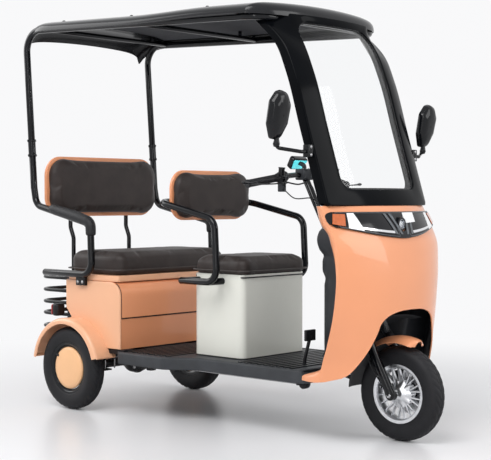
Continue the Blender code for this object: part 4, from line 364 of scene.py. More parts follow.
TURNED = {
    "plan": np.eye(3),
    "side": np.array(((1.0, 0, 0), (0, 0, 1.0), (0, -1.0, 0))),
    "front": np.array(((0, 1.0, 0), (0, 0, 1.0), (1.0, 0, 0))),
}


def slab(loop, low, high, facing="plan", edge=0.002, steps=3):
    """A loop drawn out between two heights, its rims rounded: inset e (1 - cos a), height e sin a."""
    rows = []
    turns = np.linspace(0.0, math.pi / 2, steps + 1)
    for turn in turns:
        flat = inset(loop, edge * (1 - math.sin(turn)))
        rows.append(np.column_stack((flat, np.full(len(loop), low + edge * (1 - math.cos(turn))))))
    for turn in turns[::-1]:
        flat = inset(loop, edge * (1 - math.sin(turn)))
        rows.append(np.column_stack((flat, np.full(len(loop), high - edge * (1 - math.cos(turn))))))
    points = np.array(rows) @ TURNED[facing]
    return grid(points, wrap_columns=True, caps=True)


def rounded_block(low, high, radius, edge=None):
    """A box with round upright corners and softened rims."""
    loop = outline(((low[0], low[1]), (high[0], low[1]), (high[0], high[1]), (low[0], high[1])), radius, 5)
    return slab(loop, low[2], high[2], "plan", radius * 0.6 if edge is None else edge)


def shifted(shape, offset):
    """P + offset."""
    return shape[0] + np.asarray(offset), shape[1]


def moved(shape, matrix):
    """R P + t, with the turn and shift of a matrix."""
    points = np.asarray(shape[0])
    turned = points @ np.array(matrix.to_3x3()).T + np.array(matrix.to_translation())
    return turned, shape[1]


def mirrored(shape):
    """P with y turned to -y, its faces wound the other way."""
    return shape[0] * np.array((1.0, -1.0, 1.0)), [face[::-1] for face in shape[1]]


# Making pieces

def piece(name, shapes, body="root", hides=(), sharp=38):
    """One object from (shape, material) pairs, riding on a body."""
    points = []
    faces = []
    slots = []
    materials = []
    for shape, material in shapes:
        if material not in materials:
            materials.append(material)
        base = sum(len(part) for part in points)
        points.append(np.asarray(shape[0]))
        faces += [[corner + base for corner in face] for face in shape[1]]
        slots += [materials.index(material)] * len(shape[1])
    mesh = bpy.data.meshes.new(name)
    corners = np.concatenate(points) + np.array((REAR_AXLE_X, 0.0, 0.0))
    mesh.from_pydata(corners.tolist(), [], faces)
    for material in materials:
        mesh.materials.append(material)
    mesh.polygons.foreach_set("material_index", slots)
    made = bpy.data.objects.new(name, mesh)
    bpy.context.scene.collection.objects.link(made)
    tidy_mesh(mesh, sharp)
    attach(made, body)
    if hides:
        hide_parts(*hides)
    return made


def tidy_mesh(mesh, sharp=38):
    """Join doubled corners, point the faces outwards and keep sharp edges."""
    shape = bmesh.new()
    shape.from_mesh(mesh)
    bmesh.ops.remove_doubles(shape, verts=shape.verts, dist=0.000002)
    bmesh.ops.recalc_face_normals(shape, faces=shape.faces)
    shape.to_mesh(mesh)
    shape.free()
    mesh.shade_smooth()
    mesh.set_sharp_from_angle(angle=math.radians(sharp))


def carve(made, *cutters, overlap=False):
    """Cut shapes out of a piece and keep the result as its mesh."""
    tools = []
    for shape in cutters:
        mesh = bpy.data.meshes.new(made.name + "_tool")
        points = np.asarray(shape[0]) + np.array((REAR_AXLE_X, 0.0, 0.0))
        mesh.from_pydata(points.tolist(), [], shape[1])
        tidy_mesh(mesh)
        tool = bpy.data.objects.new(mesh.name, mesh)
        bpy.context.scene.collection.objects.link(tool)
        modifier = made.modifiers.new("cut", "BOOLEAN")
        modifier.operation = "DIFFERENCE"
        modifier.solver = "EXACT"
        modifier.object = tool
        modifier.use_self = overlap
        tools.append(tool)
    bpy.context.view_layer.update()
    graph = bpy.context.evaluated_depsgraph_get()
    mesh = bpy.data.meshes.new_from_object(made.evaluated_get(graph))
    made.modifiers.clear()
    made.data = mesh
    for tool in tools:
        bpy.data.objects.remove(tool, do_unlink=True)
    tidy_mesh(mesh)
    return made


def bolt(centre, axis, radius=0.006, height=0.004, steps=12):
    """A domed bolt head on a washer, its foot on the surface."""
    profile = (
        (0.0, height), (radius * 0.55, height * 0.92), (radius * 0.85, height * 0.6),
        (radius, height * 0.25), (radius * 1.3, height * 0.2), (radius * 1.3, 0.0), (0.0, 0.0),
    )
    return lathe(profile, centre, axis, steps)


# Wheels

def tyre_profile():
    """Half section through tread, shoulder and bead as one smooth curve, then mirrored."""
    half = ((0.1830, 0.0), (0.1826, 0.012), (0.1800, 0.022), (0.1735, 0.0305), (0.1640, 0.0368),
            (0.1500, 0.0400), (0.1350, 0.0388), (0.1230, 0.0355), (0.1165, 0.0335))
    side = smooth(half, 24)
    inner = np.array(((0.1150, 0.0300), (0.1030, 0.0262)))
    half = np.concatenate((side, inner))
    other = half[::-1] * np.array((1.0, -1.0))
    return np.concatenate((other, half[1:]))


def tread(angle, across, radius):
    """Grooves: slanting bars and one centre line sunk into the crown, fading to the shoulder."""
    crown = np.clip((radius - 0.1725) / 0.004, 0.0, 1.0)
    phase = (angle * 36 / (2 * math.pi) + np.abs(across) * 42) % 1.0
    bars = np.clip(1 - np.abs(phase - 0.5) / 0.17, 0.0, 1.0) * np.clip((np.abs(across) - 0.004) / 0.004, 0, 1)
    line = np.clip(1 - np.abs(across) / 0.0022, 0.0, 1.0)
    return -0.0030 * crown * np.clip(bars * 1.6, 0, 1) - 0.0022 * crown * line


def make_wheels():
    """Tyres turned about the axle with sunk grooves, and the rear discs with cap and valve."""
    wheels = [("front", "front_wheel", FRONT_AXLE)]
    wheels += [("rear_" + label, "rear_wheel_" + label,
        np.array((0.0, side * REAR_WHEEL_Y, TYRE_RADIUS))) for label, side in SIDES]
    for name, body, centre in wheels:
        shape = lathe(tyre_profile(), centre, (0, 1, 0), 288, closed=True, wave=tread)
        node = "front_tyre" if name == "front" else "rear_tyre_" + name[5:]
        piece(name + "_tread", [(shape, TYRE)], body, (node,), 50)
    for label, side in SIDES:
        centre = np.array((0.0, side * REAR_WHEEL_Y, TYRE_RADIUS))
        axis = (0, side, 0)
        ring = (
            (0.0985, 0.0205), (0.1040, 0.0272), (0.1085, 0.0300), (0.1140, 0.0300), (0.1140, 0.0270),
            (0.1015, 0.0262), (0.1015, -0.0262), (0.1140, -0.0270), (0.1140, -0.0300),
            (0.1060, -0.0300), (0.0955, -0.0240), (0.0955, 0.0120), (0.0985, 0.0150),
        )
        dome = smooth(((0.0, 0.0370), (0.035, 0.0366), (0.062, 0.0350), (0.082, 0.0318), (0.0895, 0.0282),
            (0.0928, 0.0240), (0.0932, 0.0195)), 28)
        cap = np.concatenate((dome, ((0.0925, 0.0170), (0.0, 0.0170))))
        hub = ((0.0, -0.0300), (0.024, -0.0300), (0.026, -0.026), (0.026, 0.016), (0.0, 0.016))
        bead = [(0.0990 + 0.0018 * math.cos(a), 0.0232 + 0.0018 * math.sin(a)) for a in np.linspace(0,
            2 * math.pi, 10, endpoint=False)]
        valve = pipe((centre + (-0.062, side * 0.0300, 0.050), centre + (-0.070, side * 0.0345, 0.056)),
            0.0058, 10)
        shapes = [
            (lathe(ring, centre, axis, 96, closed=True), BLACK), (lathe(cap, centre, axis, 96), CAP),
            (lathe(hub, centre, axis, 32), FRAME), (lathe(bead, centre, axis, 96, closed=True),
                BLACK), (valve, RUBBER),
        ]
        piece("rear_wheel_disc_" + label, shapes, "rear_wheel_" + label, ("rear_rim_" + label,))
    make_front_rim()


def make_front_rim():
    """Barrel, star hub, ten split spokes, brake disc with holes, valve."""
    centre = FRONT_AXLE
    axis = (0, 1, 0)
    barrel = (
        (0.1140, -0.0300), (0.1140, -0.0272), (0.1015, -0.0262), (0.1015, 0.0262), (0.1140, 0.0272),
        (0.1140, 0.0300), (0.1080, 0.0300), (0.1020, 0.0285), (0.0985, 0.0240), (0.0968, 0.0100),
        (0.0968, -0.0100), (0.0985, -0.0240), (0.1020, -0.0285), (0.1080, -0.0300),
    )
    shapes = [(lathe(barrel, centre, axis, 120, closed=True), SILVER)]
    hub = smooth(((0.0075, 0.0318), (0.016, 0.0318), (0.020, 0.0300), (0.030, 0.0235), (0.042, 0.0175),
        (0.050, 0.0140)), 18)
    hub = np.concatenate((hub, ((0.050, -0.0140),),
        smooth(((0.042, -0.0175), (0.030, -0.0235), (0.020, -0.0300), (0.0075, -0.0318)), 10)))
    star = lambda angle, across, radius: np.where(radius > 0.030,
        (radius - 0.030) * 0.28 * np.cos(10 * angle), 0.0)
    shapes.append((lathe(hub, centre, axis, 160, closed=True, wave=star), SILVER))
    rows = np.linspace(0.0, 1.0, 9)
    for index in range(10):
        for lean in (-1, 1):
            turn = 2 * math.pi * (index + 0.5) / 10 + lean * math.radians(4.5)
            fan = lean * math.radians(4.8)
            reach = 0.042 + (0.0985 - 0.042) * rows
            angle = turn + fan * rows
            width = 0.0058 - 0.0030 * rows
            depth = 0.0130 - 0.0050 * rows
            loop = np.linspace(0.0, 2 * math.pi, 12, endpoint=False)
            across = np.sign(np.cos(loop)) * np.abs(np.cos(loop)) ** 0.6
            deep = np.sign(np.sin(loop)) * np.abs(np.sin(loop)) ** 0.6
            outward = np.stack((np.cos(angle), 0 * angle, np.sin(angle)), axis=-1)
            side = np.stack((-np.sin(angle), 0 * angle, np.cos(angle)), axis=-1)
            points = centre + reach[:, None, None] * outward[:, None, :]
            points = points + width[:, None, None] * across[None, :, None] * side[:, None, :]
            points = points + depth[:, None, None] * deep[None, :, None] * np.array((0.0, 1.0, 0.0))
            shapes.append((grid(points, wrap_columns=True, caps=True), SILVER))
    disc = ((0.078, 0.0352), (0.078, 0.0382), (0.046, 0.0382), (0.046, 0.0352))
    petal = lambda angle, across, radius: np.where(radius > 0.07, 0.0022 * np.cos(12 * angle), 0.0)
    shapes.append((lathe(disc, centre, axis, 144, closed=True, wave=petal), STEEL))
    carrier = ((0.048, 0.0345), (0.048, 0.0372), (0.018, 0.0372), (0.018, 0.0300))
    shapes.append((lathe(carrier, centre, axis, 48, closed=True), FRAME))
    for index in range(24):
        turn = 2 * math.pi * index / 24
        reach = 0.058 + 0.010 * (index % 2)
        spot = centre + np.array((reach * math.cos(turn), 0.0383, reach * math.sin(turn)))
        shapes.append((lathe(((0.0, 0.0002), (0.0030, 0.0002), (0.0030, 0.0)), spot, axis, 10), BLACK))
    for index in range(5):
        turn = 2 * math.pi * index / 5
        spot = centre + np.array((0.038 * math.cos(turn), 0.0372, 0.038 * math.sin(turn)))
        shapes.append((bolt(spot, axis, 0.0042, 0.003), STEEL))
    valve = centre + np.array((-0.094, 0.0, 0.020))
    shapes.append((pipe((valve, valve + (0.010, -0.014, -0.003), valve + (0.014, -0.024, -0.004)), 0.0032,
        10), RUBBER))
    piece("front_wheel_casting", shapes, "front_wheel", ("front_rim",))


# Steering

def steer(rise, ahead=0.0, across=0.0):
    """Foot + rise U + ahead O + across Y, along the raked steering axis."""
    return STEER_FOOT + STEER_UP * rise + STEER_OUT * ahead + np.array((0.0, across, 0.0))


BAR_RISE = (1.030 - STEER_FOOT[2]) / STEER_UP[2]


def grip_point(side, reach, drop=0.0, ahead=0.0):
    """A place on the handlebar: its height and setback fall in a straight line over the reach."""
    share = (reach - 0.165) / (0.312 - 0.165)
    return steer(BAR_RISE) + np.array((-0.026 * share + ahead, side * reach,
        -0.037 / 3 - 0.037 * share * 2 / 3 - drop))


def make_fork():
    """Two turned legs, a bridge, the stem, axle, caliper and hoses round the steering axis."""
    shapes = []
    for side in (-1, 1):
        across = side * FORK_HALF
        leg = steer(0.0, FORK_OFFSET, across)
        slider = smooth(((0.0, -0.012), (0.012, -0.011), (0.0175, -0.004), (0.0185, 0.03), (0.0188, 0.19),
            (0.0192, 0.21), (0.0178, 0.222), (0.0135, 0.226)), 40)
        shapes.append((lathe(slider, leg, STEER_UP, 28), BLACK))
        shapes.append((pipe((steer(0.215, FORK_OFFSET, across), steer(0.345, FORK_OFFSET, across)), 0.0130,
            20, 0.3), CHROME))
        dust = ((0.0130, 0.250), (0.0150, 0.248), (0.0185, 0.232), (0.0190, 0.222), (0.0160, 0.220))
        shapes.append((lathe(dust, leg, STEER_UP, 24), RUBBER))
        lug = ((0.0, 0.012), (0.017, 0.012), (0.0195, 0.009), (0.0195, -0.014), (0.0, -0.014))
        shapes.append((lathe(lug, leg, (0, side, 0), 24), BLACK))
        nut = ((0.0, 0.019), (0.0085, 0.019), (0.0105, 0.016), (0.0105, 0.011), (0.0, 0.011))
        shapes.append((lathe(nut, leg, (0, side, 0), 6), STEEL))
        foot = steer(0.211, FORK_OFFSET, side * 0.0515)
        shapes.append((pipe((foot, steer(0.211, FORK_OFFSET, across)), 0.0065, 12), BLACK))
        cap = ((0.0, 0.361), (0.0095, 0.361), (0.012, 0.357), (0.0125, 0.345))
        shapes.append((lathe(cap, leg, STEER_UP, 20), STEEL))
    bridge = slab(outline(((-0.095, -0.022), (0.095, -0.022), (0.095, 0.022), (0.030, 0.062), (-0.030, 0.062),
        (-0.095, 0.022)), 0.018), -0.014, 0.014, "plan", 0.004)
    points = np.asarray(bridge[0])
    middle = steer(0.326, 0.030)
    wide, deep, tall = points[:, :1], points[:, 1:2], points[:, 2:]
    placed = middle + wide * np.array((0.0, 1.0, 0.0)) - deep * STEER_OUT + tall * STEER_UP
    shapes.append(((placed, bridge[1]), BLACK))
    shapes.append((pipe((steer(0.30), steer(BAR_RISE - 0.010)), 0.0143, 24), BLACK))
    shapes.append((pipe((steer(0.0, FORK_OFFSET, -0.07), steer(0.0, FORK_OFFSET, 0.07)), 0.0058, 16), STEEL))
    caliper = slab(outline(((-0.020, 0.048), (0.018, 0.040), (0.030, 0.082), (0.012, 0.094), (-0.016, 0.090)),
        0.008), 0.028, 0.056, "side", 0.004)
    spot = np.array((FRONT_AXLE[0] - 0.052, 0.0, FRONT_AXLE[2] - 0.012))
    shapes.append((shifted((caliper[0] * np.array((1.0, -1.0, 1.0)), caliper[1]), spot), FRAME))
    hose = smooth((spot + (0.005, 0.044, 0.088), steer(0.16, 0.012, 0.082), steer(0.24, 0.000, 0.086),
        steer(0.36, -0.020, 0.070), steer(0.42, -0.026, 0.040)), 40)
    shapes.append((pipe(hose, 0.0032, 10), RUBBER))
    sensor = smooth((steer(0.01, 0.030, -0.078), steer(0.10, 0.016, -0.088), steer(0.22, 0.008, -0.090),
        steer(0.34, -0.018, -0.072), steer(0.42, -0.026, -0.040)), 36)
    shapes.append((pipe(sensor, 0.0028, 10), RUBBER))
    piece("fork_assembly", shapes, "steering", ("front_fork",))


def make_bars():
    """A pipe through the filleted bar line, with pods, levers, cups, cables and ribbed grips."""
    top = steer(BAR_RISE)
    path = [grip_point(-1, 0.312), grip_point(-1, 0.125), top - (0, 0.055, 0), top + (0, 0.055, 0),
        grip_point(1, 0.125), grip_point(1, 0.312)]
    shapes = [(pipe(fillet(path, 0.055), 0.011, 20), BLACK)]
    clamp = rounded_block((-0.024, -0.034, -0.020), (0.026, 0.034, 0.026), 0.010)
    shapes.append((shifted(clamp, top), PLASTIC))
    for y in (-0.020, 0.020):
        shapes.append((bolt(top + (0.008, y, 0.026), (0, 0, 1), 0.0045, 0.003), STEEL))
    for side in (-1, 1):
        pod = smooth(((0.0, -0.004), (0.017, -0.003), (0.0215, 0.004), (0.0225, 0.018), (0.0215, 0.034),
            (0.018, 0.0395), (0.0, 0.040)), 26)
        start = grip_point(side, 0.125)
        run = grip_point(side, 0.165) - start
        shapes.append((lathe(pod, start, run, 28), PLASTIC))
        middle = start + run * 0.5
        body = rounded_block((-0.014, -0.013, -0.060), (0.014, 0.013, 0.002), 0.006)
        shapes.append((shifted(body, middle), PLASTIC))
        shapes.append((pipe((middle + (-0.014, 0, -0.020), middle + (-0.019, 0, -0.021)), 0.0055, 14),
            RED if side < 0 else AMBER))
        shapes.append((pipe((middle + (-0.014, 0, -0.042), middle + (-0.018, 0, -0.043)), 0.0045, 14), STEEL))
        perch = pipe((middle + (0.010, 0, -0.006), middle + (0.026, side * 0.010, -0.024)), 0.0085, 16)
        shapes.append((perch, BLACK))
        cup = ((0.0, 0.000), (0.011, 0.000), (0.0125, 0.004), (0.0125, 0.028), (0.0140, 0.029),
            (0.0140, 0.034), (0.0, 0.035))
        shapes.append((lathe(cup, middle + (0.022, side * 0.030, 0.004), (0.1, 0, 1), 20), BLACK))
        reach = np.linspace(0.0, 1.0, 22)
        lever = np.array([grip_point(side, 0.150 + 0.222 * s,
            0.022 + 0.006 * math.sin(math.pi * s) - 0.034 * s, 0.036 + 0.004 * s) for s in reach])
        width = 0.0062 - 0.0018 * np.sin(math.pi * np.clip(reach * 1.1, 0,
            1)) + 0.0044 * np.clip((reach - 0.93) / 0.07, 0, 1)
        shapes.append((pipe(lever, width, 14, 0.9, 0.62), BLACK))
        cable = smooth((middle + (0.022, side * -0.006, -0.022), middle + (0.050, side * -0.040, -0.030),
            steer(BAR_RISE - 0.060, 0.045, side * 0.060), steer(BAR_RISE - 0.160, 0.035,
            side * 0.034), steer(BAR_RISE - 0.240, 0.020, side * 0.010)), 48)
        shapes.append((pipe(cable, 0.0031, 10), RUBBER))
        wire = smooth((middle + (0.004, side * -0.010, -0.052), middle + (0.024, side * -0.044, -0.084),
            steer(BAR_RISE - 0.120, 0.018, side * 0.030), steer(BAR_RISE - 0.230, 0.014, side * 0.006)), 40)
        shapes.append((pipe(wire, 0.0024, 8), RUBBER))
    piece("handlebar_assembly", shapes, "steering", ("handlebar",))
    for label, side in SIDES:
        inner = grip_point(side, 0.165)
        run = grip_point(side, 0.320) - inner
        length = float(np.linalg.norm(run))
        along = np.linspace(0.0, 1.0, 150)
        ribs = 0.0006 * (np.sin(along * 2 * math.pi * 24) > 0) * ((along > 0.10) & (along < 0.90))
        flare = 0.0032 * np.exp(-((along - 0.03) / 0.03) ** 2)
        tip = 0.0020 * np.exp(-((along - 0.97) / 0.04) ** 2)
        size = 0.0152 + flare + tip + ribs
        profile = np.concatenate((((0.0, 0.0),), np.column_stack((size, along * length)), ((0.0, length),)))
        piece("rubber_grip_" + label, [(lathe(profile, inner, run, 28), RUBBER)], "steering",
            ("grip_" + label,), 50)


def make_display():
    """Slabs of one trapezoid outline, tipped 38 degrees and moved to the stalk."""
    loop = outline(((-0.036, -0.027), (0.036, -0.027), (0.049, 0.027), (-0.049, 0.027)), 0.010)
    screen = outline(((-0.029, -0.020), (0.029, -0.020), (0.041, 0.020), (-0.041, 0.020)), 0.006)
    centre = steer(BAR_RISE) + np.array((-0.040, 0.0, 0.052))
    turn = Matrix.Translation(Vector(centre)) @ Matrix.Rotation(math.radians(38), 4, "Y")
    case = moved(slab(loop, -0.013, 0.013, "front", 0.005), turn)
    face = moved(slab(screen, -0.0142, -0.0122, "front", 0.0006), turn)
    back = moved(slab(screen * 1.05, 0.0125, 0.0145, "front", 0.0006), turn)
    shapes = [(case, BLACK), (face, TEAL), (back, TEAL)]
    for row in range(3):
        bar = outline(((-0.018 + 0.004 * row, -0.0015), (0.018, -0.0015), (0.018, 0.0015),
            (-0.018 + 0.004 * row, 0.0015)), 0.001, 2)
        raised = slab(bar + np.array((0.0, 0.009 - 0.009 * row)), -0.0146, -0.0140, "front", 0.0001, 1)
        shapes.append((moved(raised, turn), BLACK))
    foot = steer(BAR_RISE) + np.array((0.0, 0.0, 0.020))
    shapes.append((pipe(smooth((foot, foot + (0.0, 0.0, 0.016), centre + (0.010, 0.0, 0.0)), 12), 0.009, 18),
        PLASTIC))
    piece("instrument", shapes, "steering", ("display_unit",))


def arc_band(centre, radius, low, high, start, end, depth, count=64, taper=None):
    """Band round a wheel: r = R - d |v|^2.6 across v in -1..1, angle from start to end."""
    angle = np.linspace(start, end, count)[:, None]
    across = np.sin(np.linspace(-1.0, 1.0, 25) * math.pi / 2)[None, :]
    narrow = np.ones_like(angle) if taper is None else taper(np.linspace(0.0, 1.0, count))[:, None]
    reach = radius - depth * np.abs(across) ** 2.6
    y = (low + high) / 2 + (high - low) / 2 * across * narrow
    return np.stack((centre[0] + reach * np.cos(angle), y, centre[2] + reach * np.sin(angle)), axis=-1)


def make_front_fender():
    """Two arc bands round the front wheel, the tip narrowed by 1 - 0.55 (1 - s / 0.1)^2.2."""
    tip = lambda s: 1 - 0.55 * np.clip(1 - s / 0.10, 0, 1) ** 2.2
    band = arc_band(FRONT_AXLE, 0.2238, -0.0505, 0.0505, math.radians(68), math.radians(120), 0.024, taper=tip)
    rear = arc_band(FRONT_AXLE, 0.2232, -0.0505, 0.0505, math.radians(119), math.radians(158), 0.022)
    rim = pipe(band[2:, 0], 0.0019, 8)
    other = pipe(band[2:, -1], 0.0019, 8)
    shapes = [(shell(band, -0.0026), PEACH), (rim, PEACH), (other, PEACH), (shell(rear, -0.0026), PLASTIC)]
    piece("front_mudguard", shapes, "steering", ("front_fender",))
    flap = arc_band(FRONT_AXLE, 0.2245, -0.055, 0.055, math.radians(150), math.radians(178), 0.008, 24)
    piece("front_flap", [(shell(flap, -0.0025), RUBBER)], "steering", ("mud_flap",))


make_wheels()
make_fork()
make_bars()
make_display()
make_front_fender()


# Front body

SHIELD_FOOT, SHIELD_TOP, SHIELD_HALF = 0.235, 0.905, 0.335
NOSE_SHARES = ((0.0, 0.0), (0.41, 0.05), (0.66, 0.17), (0.81, 0.37), (0.90, 0.62), (1.0, 1.0))
EDGE_SHARES = (
    (0.0, 0.98), (0.12, 0.90), (0.22, 0.68), (0.35, 0.44), (0.50, 0.28), (0.60, 0.22),
    (0.70, 0.22), (0.79, 0.28), (0.88, 0.55), (1.0, 0.98),
)
REAR_SHARES = (
    (0.0, 1.0), (0.035, 0.99), (0.081, 0.53), (0.141, 0.375), (0.256, 0.262), (0.369, 0.155),
    (0.482, 0.088), (0.565, 0.077), (0.675, 0.128), (0.785, 0.254), (0.850, 0.350), (0.882, 0.465),
    (1.0, 0.63),
)
ARCH_SHARES = (
    (0.0, 1.0), (0.20, 0.99), (0.31, 0.965), (0.425, 0.91), (0.506, 0.82), (0.545, 0.70), (0.605, 0.53),
    (0.666, 0.375), (0.726, 0.242), (0.786, 0.13), (0.867, 0.034), (0.92, -0.01), (0.96, -0.07), (1.06, -0.25),
)


def follow(shares, place):
    """The CAD's smooth curve through (place, value) pairs, for whole arrays of places."""
    places, values = np.array(shares, dtype=float).T
    where = np.clip(place, places[0], places[-1])
    index = np.clip(np.searchsorted(places, where, side="right") - 1, 0, len(places) - 2)
    run = places[index + 1] - places[index]
    rise = values[index + 1] - values[index]
    slopes = np.gradient(values, places)
    steep = np.abs(rise / run) * 3
    first = np.clip(slopes[index], -steep, steep) * run
    last = np.clip(slopes[index + 1], -steep, steep) * run
    s = (where - places[index]) / run
    return (
        values[index] * (2 * s**3 - 3 * s**2 + 1) + first * (s**3 - 2 * s**2 + s)
        + values[index + 1] * (3 * s**2 - 2 * s**3) + last * (s**3 - s**2)
    )


def shield_share(z):
    """Height over the shield as a share, 0 at its foot and 1 at its top."""
    return (z - SHIELD_FOOT) / (SHIELD_TOP - SHIELD_FOOT)


def shield_surface(share, across, proud=0.0):
    """x = m(h) - (m(h) - e(h)) |a|^2.4, y = half width times a, z linear in h."""
    middle = 1.556 - 0.108 * follow(NOSE_SHARES, share) + proud
    edge = 1.470 - 0.100 * follow(EDGE_SHARES, share) + proud * 0.6
    x = middle - (middle - edge) * np.abs(across) ** 2.4
    y = (SHIELD_HALF + proud) * across
    z = SHIELD_FOOT + (SHIELD_TOP - SHIELD_FOOT) * share
    return np.stack(np.broadcast_arrays(x, y, z), axis=-1)


def soften(points, start, end, times):
    """Average each column in a range with its neighbours, to round a crease."""
    for _ in range(times):
        middle = (points[:, start - 1:end - 1] + 2 * points[:, start:end] + points[:, start + 1:end + 1]) / 4
        points[:, start:end] = middle
    return points


def line_inside(shield):
    """Black wells behind the paint: every face that looks towards the steering column."""
    shield.data.materials.append(PLASTIC)
    count = len(shield.data.polygons)
    middle = np.empty(count * 3)
    normal = np.empty(count * 3)
    shield.data.polygons.foreach_get("center", middle)
    shield.data.polygons.foreach_get("normal", normal)
    outward = middle.reshape(-1, 3) - np.array((REAR_AXLE_X + 1.400, 0.0, 0.0))
    outward[:, 2] = 0.0
    facing = np.sum(outward * normal.reshape(-1, 3), axis=1) / np.linalg.norm(outward, axis=1)
    shield.data.polygons.foreach_set("material_index", (facing < -0.10).astype(np.int32))


def make_shield():
    """The bowed front grid with two flanks that follow the rear line, cut by arch, sole and lamp hole."""
    share = np.concatenate((np.linspace(0.0, 0.12, 22), np.linspace(0.13, 1.0, 72)))[:, None]
    side = np.linspace(0.0, 1.0, 46)
    across = 1 - (1 - side) ** 1.7
    across = np.concatenate((-across[:0:-1], across))[None, :]
    front = shield_surface(share, across)
    part = np.linspace(0.0, 1.0, 17)[1:] ** 1.3
    edge = 1.470 - 0.100 * follow(EDGE_SHARES, share)
    rear = np.minimum(1.446 - 0.188 * follow(REAR_SHARES, share), edge - 0.009)
    x = edge + (rear - edge) * part[None, :]
    y = np.broadcast_to(SHIELD_HALF - 0.028 * part**2, x.shape)
    z = np.broadcast_to(SHIELD_FOOT + (SHIELD_TOP - SHIELD_FOOT) * share, x.shape)
    left = np.stack((x, y, z), axis=-1)
    right = (left * np.array((1.0, -1.0, 1.0)))[:, ::-1]
    points = np.concatenate((right, front, left), axis=1)
    corner = 16
    points = soften(points, corner - 5, corner + 8, 14)
    columns = points.shape[1]
    points = soften(points, columns - corner - 8, columns - corner + 5, 14)
    shield = piece("front_shell", [(shell(points[:, ::-1], 0.0042), PEACH)], "root", ("front_shield",),
        50)
    half = smooth([(a * 0.332, 0.513 - 0.262 * (1 - b)) for a, b in ARCH_SHARES], 60)
    loop = np.concatenate((half, half[:0:-1] * np.array((-1.0, 1.0))))
    arch = slab(loop, 1.400, 1.600, "front", 0.0)
    hole = lathe(((0.0, 0.0), (0.0285, 0.0), (0.0285, 0.08), (0.0, 0.08)), (1.47, 0, LAMP_HEIGHT), (1, 0, 0),
        40)
    under = ((1.20, 0.20), (1.62, 0.20), (1.62, 0.340), (1.485, 0.285), (1.430, 0.262), (1.385, 0.2495),
        (1.340, 0.2435), (1.20, 0.2420))
    sole = slab(np.array(under), -0.40, 0.40, "side", 0.0)
    carve(shield, arch, hole, sole)
    line_inside(shield)
    edge_line = half[half[:, 1] > SHIELD_FOOT + 0.034]
    edge_line = np.concatenate((edge_line[::-1] * np.array((-1.0, 1.0)), edge_line[1:]))
    lip = shield_surface(shield_share(edge_line[:, 1]), edge_line[:, 0] / SHIELD_HALF)
    lip[:, 0] -= 0.002
    top = shield_surface(np.array(1.0), np.linspace(-0.97, 0.97, 60)) - np.array((0.0035, 0, 0.002))
    shapes = [(pipe(lip, 0.0032, 10), PEACH), (pipe(top, 0.0034, 10), PEACH)]
    well = arc_band(FRONT_AXLE, 0.300, -0.185, 0.185, math.radians(97), math.radians(150), 0.020, 40)
    shapes.append((shell(well, 0.002), PLASTIC))
    piece("shield_trim", shapes)


def band_depth(across):
    """d = 0.050 + 0.052 max(0, 1 - |a|^1.6)."""
    return 0.050 + 0.052 * np.maximum(0.0, 1 - np.abs(across) ** 1.6)


def band_surface(level, across, proud=0.009):
    """The lamp band: level 0 on its curved lower edge, 1 on its upper edge."""
    top = shield_share(0.884)
    share = top - band_depth(across) * (1 - level) / (SHIELD_TOP - SHIELD_FOOT)
    return shield_surface(share, across, proud)


def band_patch(first, last, low, high, proud, slant=0.0, depth=0.003, rows=6, columns=24):
    """A raised patch on the band; slant moves the upper ends of its two sides sideways."""
    level = np.linspace(low, high, rows)[:, None]
    share = np.linspace(0.0, 1.0, columns)[None, :]
    lean = slant if isinstance(slant, tuple) else (slant, slant)
    across = first + lean[0] * (level - low) + (last - first + (lean[1] - lean[0]) * (level - low)) * share
    return shell(band_surface(level, across, proud)[:, ::-1], -depth)


def band_loop(first, last, low, high, corner, proud):
    """A closed line on the band with round corners, in (across, level)."""
    tall = 0.13
    loop = outline(((first, low * tall), (last, low * tall), (last, high * tall), (first, high * tall)),
        corner, 10)
    loop = even_loop(loop, 220)
    return band_surface(loop[:, 1] / tall, loop[:, 0], proud)


